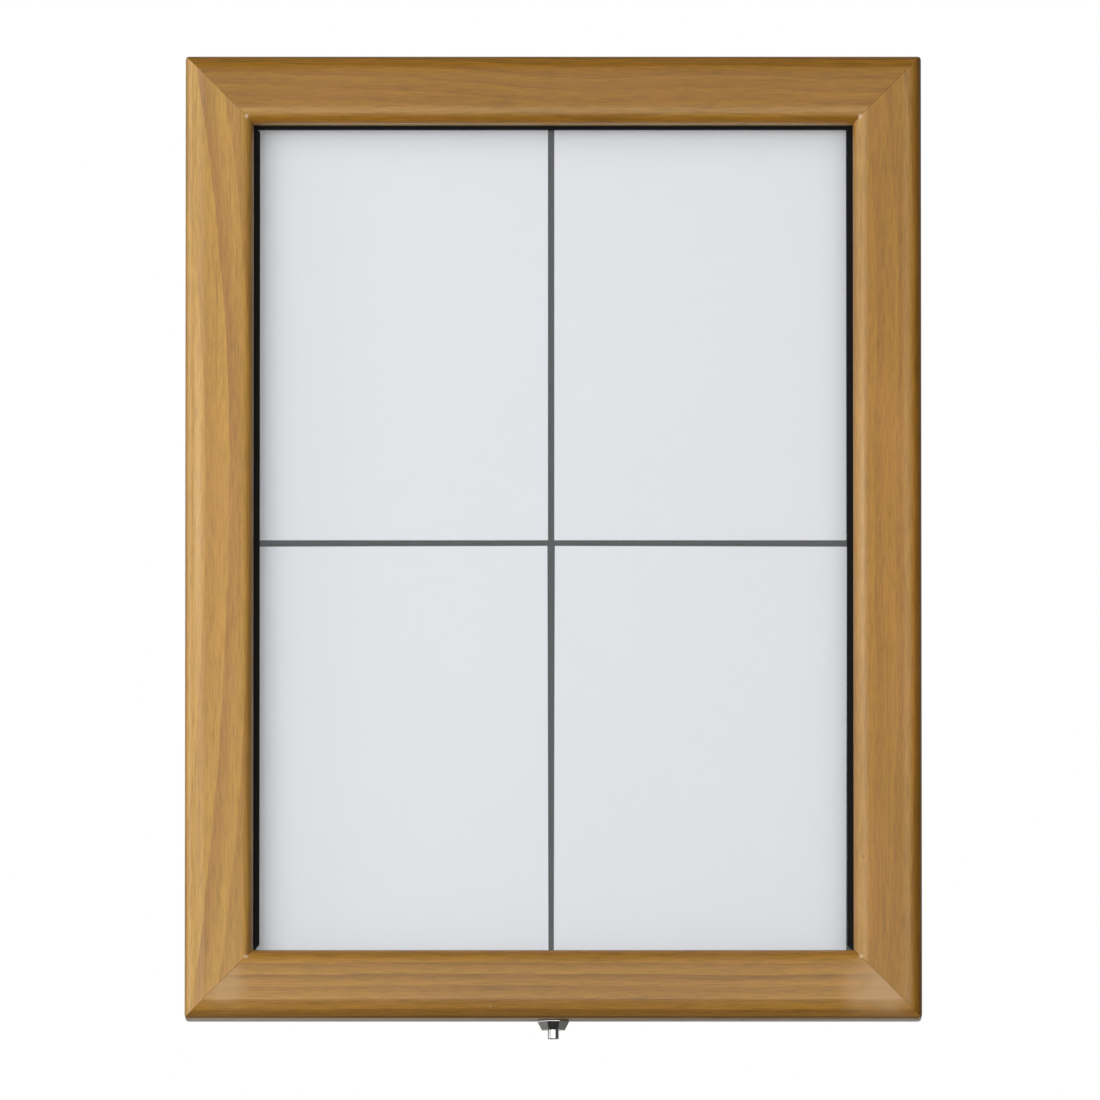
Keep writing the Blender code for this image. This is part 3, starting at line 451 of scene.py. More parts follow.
def stained_pine(name, upright, pith, ring, wander, tone, seed, middle, arrises, marks):
    """Pine cut from a trunk whose pith lies at a place across and behind the board.

    Rings are cylinders round the pith. Wander is how far the pith drifts, wobbles and bows along
    the board, so the grain runs on over the rounds. Tone is the colour of early wood, late wood
    and of the blush over both. Middle says how much paler the board is painted halfway along than
    at its ends, darker below zero: painted light and shade along its length. Each arris is a line
    along the board, at a distance in from the outer edge, with its reach and how much paler it is
    painted, or darker below zero: painted highlights and light along the rounds and the inner wall,
    painted shade, pale wear and a dark grain line. Each mark is a place, a size, a colour and a depth.
    """
    wood = Finish(name)
    here = wood.place()
    axis = {part: wood.node("SeparateXYZ", None, {0: here}, output=part) for part in "XYZ"}
    across, along = (axis["X"], axis["Z"]) if upright else (axis["Z"], axis["X"])
    deep = axis["Y"]

    def stretched(fine, coarse):
        """The board's coordinates, fine across the grain and coarse along it."""
        return wood.point(across * fine, deep * fine, along * coarse + seed)

    drift, wobble, bow = wander
    line = wood.point(along + seed, seed, 0.0)
    pith_drift = (wood.noise(line, DRIFT_SCALE, 1.0) - 0.5) * drift
    pith_wobble = (wood.noise(line, WOBBLE_SCALE, 1.0) - 0.5) * wobble
    pith_bow = (along - BOW_MIDDLE) * (along - BOW_MIDDLE) * bow
    swirl = wood.noise(stretched(*SWIRL_SCALE), 1.0, 1.0) - 0.5
    radius = wood.distance(wood.point(
        across - pith[0] + pith_drift + pith_wobble + pith_bow,
        deep - pith[1] + pith_drift * 0.5,
        0.0,
    ))
    turns = radius / ring + swirl * 0.35
    year = turns.maths("FLOOR", turns)
    season = turns.maths("FRACT", turns)
    strength = wood.node("TexWhiteNoise", {"noise_dimensions": "1D"}, {"W": year + seed})
    late = wood.between(season, 0.10, 0.93) * wood.between(season, 0.945, 1.0, 1.0, 0.0)
    late = late * (0.45 + 0.55 * strength)

    fibre = wood.noise(stretched(*FIBRE_SCALE), 1.0, 3.0, 0.65)
    thread = wood.noise(stretched(*THREAD_SCALE), 1.0, 2.0, 0.6)
    streak = wood.noise(stretched(*STREAK_SCALE), 1.0, 3.0, 0.6)
    cloud = wood.noise(stretched(*CLOUD_SCALE), 1.0, 3.0, 0.6)
    pores = wood.between(fibre, 0.58, 0.72) + wood.between(thread, 0.56, 0.72)

    early_wood, late_wood, blush = tone
    colour = wood.mix(early_wood, late_wood, late)
    colour = wood.mix(colour, blush, wood.between(cloud, 0.40, 0.72) * 0.55)
    shade = 0.56 + 0.40 * streak + 0.20 * cloud + 0.34 * wood.between(fibre, 0.28, 0.72) - 0.13 * pores
    half_length, half_across = (HALF_HEIGHT, HALF_WIDTH) if upright else (HALF_WIDTH, HALF_HEIGHT)
    from_middle = along.maths("ABSOLUTE", along)
    # Paler or darker halfway along the board: painted light and shade.
    shade = shade * wood.between(from_middle, 0.03, half_length, 1.0 + middle, 1.0 - middle)
    inward = half_across - across.maths("ABSOLUTE", across)
    # Lines along the rounds painted paler or darker: painted highlights, painted light on the inner wall
    # and the bottom edge, painted shade at edges turned from the light, some wear and a grain line.
    for start, reach, paleness in arrises:
        off = inward - start
        near = wood.between(off.maths("ABSOLUTE", off), 0.1 * reach, reach, abs(paleness), 0.0)
        colour = wood.mix(colour, PALE_WEAR_AND_PAINTED_LIGHT if paleness > 0.0 else DARK_GRAIN_AND_PAINTED_SHADE, near)
    colour = wood.mix(colour, shade, 1.0, "MULTIPLY")
    # Marks: the wood's knot and speck, painted glints at the mitres and painted sheen at the ends of the
    # bottom rail.
    for spot, size, mark, depth in marks:
        ragged = wood.distance(here, spot) + (wood.noise(here, 1.2 / size) - 0.5) * size
        colour = wood.mix(mark, colour, wood.between(ragged, 0.2 * size, 1.3 * size, 1.0 - depth, 1.0))
    height = fibre * 0.7 + wood.noise(here, LACQUER_SCALE) * 0.3 + late * 0.3
    wood.surface(Base_Color=colour, Roughness=0.42 + 0.20 * (fibre - 0.5), Specular_IOR_Level=0.34,
                 Specular_Tint=(0.92, 0.80, 0.54, 1.0), Coat_Weight=0.26, Coat_Roughness=0.18,
                 Coat_IOR=1.5, Normal=wood.bump(height, 0.35, 0.00010))
    return wood


def mitre_glint(x_side, z_side):
    """A painted glint: a pale spot where two inner rounds meet at a mitre."""
    inward = FACE_WIDTH - MITRE_GLINT_IN
    place = (x_side * (HALF_WIDTH - inward), FRONT + MITRE_GLINT_DEEP, z_side * (HALF_HEIGHT - inward))
    return (place, MITRE_GLINT_SIZE, PALE_SPECK_AND_GLINT, 0.9)


def on_axis(z):
    """A point on the lock's axis."""
    return Vector((0.0, LOCK_Y, z))


pane_low, pane_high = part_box("glazing_pane")
gasket_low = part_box("glazing_gasket_left")[0]
FACE_REAR = pane_high.y
REBATE_FRONT = gasket_low.y - FIT
REBATE_WALL = HALF_WIDTH + gasket_low.x - FIT
outer = ellipse((OUTER_ROUND[0], FRONT + OUTER_ROUND[1]), OUTER_ROUND, 180, 270, ROUND_STEPS)
inner = ellipse((FACE_WIDTH - INNER_ROUND[0], FRONT + INNER_ROUND[1]), INNER_ROUND, 270, 360, ROUND_STEPS)
moulding = [
    (0.0, TIMBER_REAR),
    *outer,
    *inner,
    (FACE_WIDTH, REBATE_FRONT),
    (REBATE_WALL, REBATE_FRONT),
    (REBATE_WALL, FACE_REAR),
    (SIDE_WALL, FACE_REAR),
    (SIDE_WALL, TIMBER_REAR),
]

body_low, body_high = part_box("lock_body")
LOCK_Y = (body_low.y + body_high.y) / 2
nut_low, nut_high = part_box("lock_nut")
leaf_low, leaf_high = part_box("hinge_door_leaf")
LOCK_HOLE_RADIUS = 0.0063
NUT_POCKET_RADIUS = 0.0107
NUT_POCKET_ROOM = 0.0015
RUN_PAST = 0.002

# The boards' arrises and middles paint highlights, light and shade; the pale dots at the mitres are painted
# glints and the pink patches on the bottom rail painted sheen. The knot and the small pale speck are the
# wood's own.
boards = {
    "left": stained_pine(
        "pine_left", True, (0.050, 0.040), 0.0165, (0.010, 0.002, 0.210), GOLDEN, 3.1, 0.02,
        [(0.0050, 0.0058, 0.42), (0.0052, 0.0011, -0.10), (0.0008, 0.0016, -0.16), (0.0490, 0.0066, -0.52)],
        [mitre_glint(-1, 1), mitre_glint(-1, -1)]),
    "top": stained_pine(
        "pine_top", False, (0.420, 0.060), 0.0062, (0.040, 0.004, 0.0), UMBER, 11.7, -0.02,
        [(0.0030, 0.0042, 0.08), (0.0403, 0.0052, 0.30), (0.0490, 0.0006, 0.70)],
        [mitre_glint(-1, 1), mitre_glint(1, 1)]),
    "right": stained_pine(
        "pine_right", True, (0.330, 0.080), 0.0090, (0.030, 0.004, 0.0), AMBER, 23.4, 0.06,
        [(0.0100, 0.0052, 0.20), (0.0440, 0.0052, 0.42), (0.0, 0.0075, -0.40)],
        [mitre_glint(1, 1), mitre_glint(1, -1), ((0.2222, FRONT, -0.2312), 0.0014, KNOT_BROWN, 0.9)]),
    "bottom": stained_pine(
        "pine_bottom", False, (-0.395, 0.030), 0.0060, (0.024, 0.002, 0.020), HONEY, 31.9, -0.08,
        [(0.0030, 0.0030, -0.12), (0.0, 0.0005, 0.95)],
        [mitre_glint(-1, -1), mitre_glint(1, -1), ((-0.0455, FRONT + 0.002, -0.3390), 0.0010, PALE_SPECK_AND_GLINT, 0.8),
         # Painted sheen beside the bottom rail's mitres.
         ((0.235, FRONT, -0.326), 0.026, PAINTED_SHEEN_PINK, 0.75),
         ((-0.236, FRONT, -0.324), 0.018, PAINTED_SHEEN_PINK, 0.55)]),
}
solids = {
    "left": "door_stile_left",
    "top": "door_rail_top",
    "right": "door_stile_right",
    "bottom": "door_rail_bottom",
}
for side, solid in solids.items():
    timber = mitred(f"{side}_moulding", side, moulding, ease=CORNER_EASE)
    finish_edges(timber, SANDED)
    if side == "top":
        gain_low = (leaf_low.x - FIT, leaf_low.y - FIT, leaf_low.z - FIT)
        take_away(timber, box_shape("gain", gain_low, (leaf_high.x + FIT, 0.0, HALF_HEIGHT + FIT)))
    if side == "bottom":
        hole_end = on_axis(SIDE_WALL - HALF_HEIGHT + RUN_PAST)
        take_away(timber, rod_shape("hole", on_axis(-HALF_HEIGHT - RUN_PAST), hole_end, LOCK_HOLE_RADIUS))
        pocket_end = on_axis(nut_high.z + NUT_POCKET_ROOM)
        take_away(timber, rod_shape("pocket", on_axis(nut_low.z - FIT), pocket_end, NUT_POCKET_RADIUS))
    fit(timber, boards[side], "door", "stained_pine", solid)


# The pane. One sheet of clear plastic lies in the rebate, behind the moulding's lip, so its
# sawn edges are hidden. Both faces mirror the room faintly and the display shows through.
PANE_EASE = 0.0004
PANE_BENDING = 1.34
PANE_TINT = (0.992, 0.997, 1.0, 1.0)

clear = Finish("clear_pane")
smears = clear.noise(clear.place(scale=(6.0, 6.0, 2.5)), 1.0, 3.0, 0.6)
mirror = clear.surface(Base_Color=WHITE, Metallic=1.0, Roughness=0.02 + 0.03 * smears)
through = clear.node("BsdfTransparent", None, {"Color": PANE_TINT})
rear_face = clear.node("NewGeometry", output="Backfacing")
bending = clear.between(rear_face, 0.0, 1.0, PANE_BENDING, 1.0 / PANE_BENDING)
share = clear.node("Fresnel", None, {"IOR": bending})
clear.show(clear.node("MixShader", None, {0: share, 1: through, 2: mirror}))

pane = box_shape("pane", pane_low, pane_high)
finish_edges(pane, PANE_EASE)
fit(pane, clear, "door", "clear_pane", "glazing_pane")


# The glazing gasket. Flat strips of black rubber lie between the lip and the pane, mitred at
# the corners. They show as a thin black line at the sides and the top of the opening.
GASKET_EASE = 0.00035


def rubber(name, colour, roughness):
    """Black rubber with a fine grain and a little dust."""
    black = Finish(name)
    here = black.place()
    grain = black.noise(here, 1500.0)
    dust = black.between(black.noise(here, 45.0, 4.0, 0.7), 0.55, 0.80)
    pale = tuple(1.9 * part for part in colour[:3]) + (1.0,)
    black.surface(Base_Color=black.mix(colour, pale, dust * 0.5), Roughness=roughness + 0.12 * grain,
                  Specular_IOR_Level=0.12, Normal=black.bump(grain, 0.35, 0.00005))
    return black


def inwards(side, solid):
    """How far in from the door's edge a solid starts and ends."""
    low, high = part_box(solid)
    edges = {
        "left": (HALF_WIDTH + low.x, HALF_WIDTH + high.x),
        "right": (HALF_WIDTH - high.x, HALF_WIDTH - low.x),
        "top": (HALF_HEIGHT - high.z, HALF_HEIGHT - low.z),
        "bottom": (HALF_HEIGHT + low.z, HALF_HEIGHT + high.z),
    }
    return edges[side]


def flat_strip(name, side, solid, ease):
    """A flat strip that fills its solid's width and thickness, with eased edges."""
    start, end = inwards(side, solid)
    low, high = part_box(solid)
    strip = mitred(name, side, [(start, high.y), (start, low.y), (end, low.y), (end, high.y)])
    finish_edges(strip, ease)
    return strip


gasket_rubber = rubber("gasket_rubber", (0.0050, 0.0050, 0.0046, 1.0), 0.62)
for side in solids:
    gasket = flat_strip(f"{side}_gasket", side, f"glazing_gasket_{side}", GASKET_EASE)
    fit(gasket, gasket_rubber, "door", "black_gasket", f"glazing_gasket_{side}")


# The retainers. Strips of plain aluminium lie on the back of the pane and the timber, mitred
# at the corners, and screws hold them down. Their drawn surface has fine lines along it.
RETAINER_EASE = 0.0005
DRAWN_ALUMINIUM = (0.74, 0.74, 0.75, 1.0)
UPRIGHT_LINES = (2600.0, 2600.0, 14.0)
LEVEL_LINES = (14.0, 2600.0, 2600.0)
SCRATCH_SCALE = (40.0, 500.0, 700.0)
SCRATCH_TURN = (0.0, 0.5, 0.4)


def bare_metal(name, colour, roughness, lines=None):
    """Bare metal: fine drawn lines along one way, light stains and small scratches."""
    metal = Finish(name)
    here = metal.place()
    stain = metal.noise(here, 22.0, 4.0, 0.6)
    cast = metal.noise(here, 420.0, 3.0, 0.6)
    drawn = metal.noise(metal.place(scale=lines), 1.0, 3.0, 0.7) if lines else cast
    scratch = metal.noise(metal.place(scale=SCRATCH_SCALE, turn=SCRATCH_TURN), 1.0)
    tone = 0.86 + 0.16 * stain + 0.10 * drawn - 0.10 * metal.between(scratch, 0.70, 0.76)
    metal.surface(Base_Color=metal.mix(colour, tone, 1.0, "MULTIPLY"), Metallic=1.0,
                  Roughness=roughness + 0.16 * (stain - 0.5) + 0.12 * (drawn - 0.5),
                  Normal=metal.bump(drawn + 0.5 * cast, 0.10, 0.00004))
    return metal


upright_metal = bare_metal("drawn_aluminium_upright", DRAWN_ALUMINIUM, 0.34, UPRIGHT_LINES)
level_metal = bare_metal("drawn_aluminium_level", DRAWN_ALUMINIUM, 0.34, LEVEL_LINES)
for side in solids:
    retainer = flat_strip(f"{side}_retainer", side, f"pane_retainer_{side}", RETAINER_EASE)
    metal = upright_metal if side in ("left", "right") else level_metal
    fit(retainer, metal, "door", "aluminium_strip", f"pane_retainer_{side}")


# The screws. Small zinc-plated pan heads with a cross recess hold the retainers and the
# hinge's door leaf to the timber, and a larger one holds the lock's cam to its stem.
HEAD_SIDES = 32
DOME_SHARE = 0.78
RECESS_SHARE = 0.60
RECESS_WIDTH_SHARE = 0.17
RECESS_FLOOR_SHARE = 0.35
RECESS_POINT = (0.1, 0.0001)
POINT_SHARE = 0.15
POINT_TAPER = 0.2
RETAINER_SCREW = (0.0029, 0.0016, 0.0014, 0.013)  # head, height, shank, length
REARWARD = Vector((0.0, 1.0, 0.0))
FORWARD = Vector((0.0, -1.0, 0.0))
UPWARD = Vector((0.0, 0.0, 1.0))


def choose(piece, test):
    """Select the faces that pass a test of their middle and their normal."""
    bpy.ops.mesh.select_mode(type="FACE")
    bpy.ops.mesh.select_all(action="DESELECT")
    bpy.ops.object.mode_set(mode="OBJECT")
    for face in piece.data.polygons:
        face.select = bool(test(face.center, face.normal))
    bpy.ops.object.mode_set(mode="EDIT")


def edit(piece):
    """Open one piece for editing."""
    only(piece)
    bpy.ops.object.mode_set(mode="EDIT")


def faces_up(level):
    return lambda middle, normal: normal.z > 0.9 and abs(middle.z - level) < 1e-6


def faces_down(level):
    return lambda middle, normal: normal.z < -0.9 and abs(middle.z - level) < 1e-6


def pan_screw(name, head, height, shank, length):
    """A screw standing on z = 0 with its head up: domed rim, cross recess, tapered tip."""
    screw = rod_shape(name, (0.0, 0.0, 0.0), (0.0, 0.0, height), head, HEAD_SIDES)
    edit(screw)
    choose(screw, faces_up(height))
    bpy.ops.mesh.bevel(offset=height * DOME_SHARE, segments=6, profile=0.55, affect="EDGES")
    choose(screw, faces_down(0.0))
    bpy.ops.mesh.inset(thickness=head - shank)
    for share in (1.0 - POINT_SHARE, POINT_SHARE):
        bpy.ops.mesh.extrude_region_move(TRANSFORM_OT_translate={"value": (0.0, 0.0, -share * length)})
    bpy.ops.transform.resize(value=(POINT_TAPER, POINT_TAPER, 1.0))
    bpy.ops.object.mode_set(mode="OBJECT")
    reach = head * RECESS_SHARE
    half = head * RECESS_WIDTH_SHARE
    low, high = height * RECESS_FLOOR_SHARE, 2 * height
    take_away(screw, box_shape("slot", (-reach, -half, low), (reach, half, high)))
    take_away(screw, box_shape("slot", (-half, -reach, low), (half, reach, high)))
    deep, tip = RECESS_POINT
    take_away(screw, rod_shape("point", (0.0, 0.0, deep * height), (0.0, 0.0, high), tip, 16, 2.2 * half))
    finish_edges(screw)
    return screw


def seat_of(solid, facing, height):
    """The point under a fastener's head, from its solid's box."""
    low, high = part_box(solid)
    middle = (low + high) / 2
    front = Vector([(high if way > 0 else low)[part] if abs(way) > 0.5 else middle[part]
                    for part, way in enumerate(facing)])
    return front - facing * height


def copy_to(pattern, name, solid, facing, height):
    """A fastener's copy, with a mesh of its own, seated where its solid is."""
    copy = pattern.copy()
    copy.data = pattern.data.copy()
    copy.name = name
    scene.collection.objects.link(copy)
    turn = facing.to_track_quat("Z", "Y").to_matrix().to_4x4()
    copy.data.transform(Matrix.Translation(seat_of(solid, facing, height)) @ turn)
    return copy


screw_steel = bare_metal("screw_steel", (0.56, 0.55, 0.51, 1.0), 0.30)
strip_pattern = pan_screw("retainer_screw", *RETAINER_SCREW)
for side in solids:
    for number in (1, 2):
        solid = f"retainer_screw_{side}_{number}"
        screw = copy_to(strip_pattern, f"{side}_strip_screw_{number}", solid, REARWARD, RETAINER_SCREW[1])
        fit(screw, screw_steel, "door", "screw_steel", solid)
bpy.data.objects.remove(strip_pattern, do_unlink=True)


# The case on the wall. A galvanised back plate with four screw holes near its sides and a tab
# for the hinge carries angles of the same sheet, which stand forward as a shallow rim.
SHEET = 0.0012
PLATE_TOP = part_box("case_wall_top")[1].z
TAB_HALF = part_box("hinge_case_leaf")[1].x
FIXING_HOLE = 0.00275
FIXING_FROM_END = 0.056
RIVET_HOLE = 0.0018
BEND = 0.0016
SHEARED = 0.00012
ZINC_GREY = (0.58, 0.60, 0.62, 1.0)

zinc = Finish("galvanised_sheet")
crystal_place = {"Vector": zinc.place(scale=(1.0, 1.0, 1.25)), "Scale": 135.0, "Randomness": 1.0}
crystals = zinc.node("TexVoronoi", {"feature": "F1"}, crystal_place, output="Color")
facet = zinc.node("SeparateColor", None, {0: crystals}, output=0)
stain = zinc.noise(zinc.place(), 9.0, 4.0, 0.6)
roll = zinc.noise(zinc.place(scale=(900.0, 900.0, 9.0)), 1.0)
marks = zinc.noise(zinc.place(scale=(30.0, 300.0, 600.0), turn=(0.0, 0.9, 0.0)), 1.0)
tone = 0.84 + 0.16 * facet + 0.12 * stain + 0.04 * roll - 0.08 * zinc.between(marks, 0.71, 0.77)
zinc.surface(Base_Color=zinc.mix(ZINC_GREY, tone, 1.0, "MULTIPLY"), Metallic=0.92,
             Roughness=0.36 + 0.14 * facet + 0.10 * (stain - 0.5),
             Normal=zinc.bump(facet + 0.3 * roll, 0.12, 0.00004))

plate_low, plate_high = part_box("case_back_plate")
plate = box_shape("back_plate", plate_low, (plate_high.x, plate_high.y, PLATE_TOP))
edit(plate)
for place in (-TAB_HALF, TAB_HALF):
    bpy.ops.mesh.select_all(action="SELECT")
    bpy.ops.mesh.bisect(plane_co=(place, 0.0, 0.0), plane_no=(1.0, 0.0, 0.0))
choose(plate, lambda middle, normal: normal.z > 0.9 and abs(middle.x) < TAB_HALF / 2)
bpy.ops.mesh.extrude_region_move(TRANSFORM_OT_translate={"value": (0.0, 0.0, plate_high.z - PLATE_TOP)})
bpy.ops.object.mode_set(mode="OBJECT")
wall_low, wall_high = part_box("case_wall_left")
FIXING_X = (-wall_low.x - SHEET - wall_high.x) / 2
FIXING_Z = wall_high.z - FIXING_FROM_END
fixing_places = [(x, z) for x in (-FIXING_X, FIXING_X) for z in (-FIXING_Z, FIXING_Z)]
holes = [(x, z, FIXING_HOLE) for x, z in fixing_places]
for number in range(1, 5):
    low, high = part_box(f"hinge_rivet_{number}")
    holes.append(((low.x + high.x) / 2, (low.z + high.z) / 2, RIVET_HOLE))
for x, z, radius in holes:
    take_away(plate, rod_shape("hole", (x, plate_low.y - SHEET, z), (x, plate_high.y + SHEET, z), radius))
finish_edges(plate, SHEARED)
fit(plate, zinc, "case", "zinc_sheet", "case_back_plate")

wall_start, wall_end = inwards("left", "case_wall_left")
bend_middle = (wall_start + BEND, wall_high.y - BEND)
angle = [
    (wall_end, wall_high.y),
    *ellipse(bend_middle, (BEND, BEND), 90, 180, 8),
    (wall_start, wall_low.y),
    (wall_start + SHEET, wall_low.y),
    *ellipse(bend_middle, (BEND - SHEET, BEND - SHEET), 180, 90, 6),
    (wall_end, wall_high.y - SHEET),
]
RUNS = {
    "top": "top",
    "left": "left",
    "right": "right",
    "bottom_left": "bottom",
    "bottom_right": "bottom",
}


def rim_strip(name, run, solid, outline):
    """A strip along one run of the rim. The two at the bottom end square beside the lock."""
    low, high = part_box(solid)
    ends = {"bottom_left": (-high.x, None), "bottom_right": (None, -low.x)}
    return mitred(name, RUNS[run], outline, ends=ends.get(run, (None, None)))


for run, side in RUNS.items():
    solid = f"case_wall_{run}"
    strip = rim_strip(f"case_angle_{run}", run, solid, angle)
    for x, z in fixing_places:
        if (side == "left" and x < 0) or (side == "right" and x > 0):
            start = (x, wall_high.y - 2 * SHEET, z)
            take_away(strip, rod_shape("hole", start, (x, wall_high.y + SHEET, z), FIXING_HOLE))
    finish_edges(strip, SHEARED)
    fit(strip, zinc, "case", "zinc_sheet", solid)


# The rim's seal is a black rubber strip pushed over the edge of each angle, with two gripping
# legs and a round head that meets the back of the door. At the lock it is cut away.
SEAL_EASE = 0.0003
seal_low, seal_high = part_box("rim_seal_left")
seal_start, seal_end = inwards("left", "rim_seal_left")
SEAL_RADIUS = (seal_end - seal_start) / 2
SEAL_MIDDLE = (seal_end + seal_start) / 2
SEAL_SLOT = SHEET / 2 + FIT
seal_outline = [
    (SEAL_MIDDLE - SEAL_RADIUS, seal_high.y),
    *ellipse((SEAL_MIDDLE, seal_low.y + SEAL_RADIUS), (SEAL_RADIUS, SEAL_RADIUS), 180, 360, 20),
    (SEAL_MIDDLE + SEAL_RADIUS, seal_high.y),
    (SEAL_MIDDLE + SEAL_SLOT, seal_high.y),
    (SEAL_MIDDLE + SEAL_SLOT, wall_low.y - FIT),
    (SEAL_MIDDLE - SEAL_SLOT, wall_low.y - FIT),
    (SEAL_MIDDLE - SEAL_SLOT, seal_high.y),
]

seal_rubber = rubber("seal_rubber", (0.010, 0.010, 0.011, 1.0), 0.55)
for run in RUNS:
    seal = rim_strip(f"seal_{run}", run, f"rim_seal_{run}", seal_outline)
    finish_edges(seal, SEAL_EASE)
    fit(seal, seal_rubber, "case", "black_seal", f"rim_seal_{run}")


# The display. A board of dark foam plastic is stuck to the back plate, and four sheets of
# white A4 paper are fixed to it with small adhesive dots under their corners.
BOARD_EASE = 0.0006
BOARD_DARK = (0.030, 0.031, 0.031, 1.0)
BOARD_GREY = (0.044, 0.046, 0.045, 1.0)
PAPER_COOL = (0.706, 0.713, 0.744, 1.0)
PAPER_WARM = (0.731, 0.735, 0.756, 1.0)
PAPER_THICKNESS = 0.00012
A4 = (0.210, 0.297)
TILTS = {"top_left": 0.0, "top_right": 0.0, "bottom_left": -0.15, "bottom_right": 0.15}
SHEET_STEPS = (84, 118)
SHEET_SWELL = 0.00045
SWELL_SIZE = 0.16
DOT_RADIUS = 0.0065
DOT_FROM_EDGE = 0.011
DOT_RISE = 0.00012
DOT_SLOPE = 2.2
FOLD_X = 0.1273
FOLD_Z = (0.0985, 0.1045)
FOLD_REACH = 0.0022
FOLD_RISE = 0.00006

foam = Finish("dark_board")
cells = foam.noise(foam.place(), 2200.0)
patch = foam.noise(foam.place(), 18.0, 3.0)
foam.surface(Base_Color=foam.mix(BOARD_DARK, BOARD_GREY, cells * 0.5 + patch * 0.5),
             Roughness=0.80 + 0.12 * (cells - 0.5), Specular_IOR_Level=0.3,
             Normal=foam.bump(cells, 0.4, 0.00006))
board = box_shape("board", *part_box("display_board"))
finish_edges(board, BOARD_EASE)
fit(board, foam, "case", "dark_board", "display_board")

paper = Finish("white_paper")
pulp = paper.noise(paper.place(), 700.0, 3.0, 0.6)
wash = paper.noise(paper.place(), 5.0)
paper.surface(Base_Color=paper.mix(PAPER_COOL, PAPER_WARM, 0.7 * wash + 0.3 * pulp),
              Roughness=0.72 + 0.10 * (pulp - 0.5), Specular_IOR_Level=0.35,
              Normal=paper.bump(pulp, 0.10, 0.00003))


def ridge(off):
    """How far a fold lifts the paper at a distance from it."""
    return FOLD_RISE * max(0.0, 1.0 - abs(off) / FOLD_REACH)


for corner, tilt in TILTS.items():
    low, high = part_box(f"paper_sheet_{corner}")
    middle = (low + high) / 2
    bpy.ops.mesh.primitive_grid_add(x_subdivisions=SHEET_STEPS[0], y_subdivisions=SHEET_STEPS[1], size=1.0,
                                    rotation=(math.radians(90), 0.0, 0.0))
    sheet = bpy.context.object
    sheet.name = f"sheet_{corner}"
    sheet.scale = (*A4, 1.0)
    apply_place()
    sheet.rotation_euler = (0.0, math.radians(tilt), 0.0)
    sheet.location = (middle.x, high.y, middle.z)
    apply_place()
    swell = bpy.data.textures.new(f"swell_{corner}", "CLOUDS")
    swell.noise_scale = SWELL_SIZE
    swell.noise_depth = 0
    rise = sheet.modifiers.new("swell", "DISPLACE")
    rise.texture = swell
    rise.texture_coords = "LOCAL"
    rise.direction = "Y"
    rise.mid_level = 0.0
    rise.strength = -SHEET_SWELL
    bpy.ops.object.modifier_apply(modifier=rise.name)
    dots = [(middle.x + x * (A4[0] / 2 - DOT_FROM_EDGE), middle.z + z * (A4[1] / 2 - DOT_FROM_EDGE))
            for x in (-1, 1) for z in (-1, 1)]
    for point in sheet.data.vertices:
        lift = 0.0
        for x, z in dots:
            gap = math.hypot(point.co.x - x, point.co.z - z) / DOT_RADIUS
            lift = max(lift, DOT_RISE * min(1.0, max(0.0, DOT_SLOPE * (1.0 - gap))))
        if corner.startswith("top"):
            share = (point.co.x + HALF_WIDTH) / (2 * HALF_WIDTH)
            lift = max(lift, ridge(point.co.z - FOLD_Z[0] - (FOLD_Z[1] - FOLD_Z[0]) * share))
        if corner == "top_right":
            lift = max(lift, ridge(point.co.x - FOLD_X))
        point.co.y -= lift
    stock = sheet.modifiers.new("thickness", "SOLIDIFY")
    stock.thickness = PAPER_THICKNESS
    stock.offset = 0.0
    bpy.ops.object.modifier_apply(modifier=stock.name)
    finish_edges(sheet)
    fit(sheet, paper, "case", "white_paper", f"paper_sheet_{corner}")


# The hinge. Two strips of plated steel are rolled round one long pin in turn, which makes
# fifteen knuckles. Rivets hold one strip to the back plate, screws the other to the top rail.
PIN_RADIUS = 0.0011
KNUCKLES = 15
KNUCKLE_GAP = 0.0003
CURL_STEPS = 26
CURL_END = 292
LEAF_THICKNESS = 0.0012
LEAF_EASE = 0.00012
PIN_EASE = 0.0003
RIVET = (0.0027, 0.0009, 0.0015)  # head, height, shank
RIVET_DOME_SHARE = 0.85
MANDREL = ((0.55, -0.35), (0.12, 0.2))
HINGE_SCREW = (0.0026, 0.0010, 0.0014, 0.012)
LIE_ALONG_X = Matrix(((0.0, 0.0, 1.0), (1.0, 0.0, 0.0), (0.0, 1.0, 0.0))).to_4x4()

pin_low, pin_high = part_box("hinge_pin")
PIN_Y = (pin_low.y + pin_high.y) / 2
PIN_Z = (pin_low.z + pin_high.z) / 2
HINGE_HALF = pin_high.x
KNUCKLE_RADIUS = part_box("hinge_case_leaf")[1].y - PIN_Y
LEAF_BOTTOM = leaf_low.z - PIN_Z

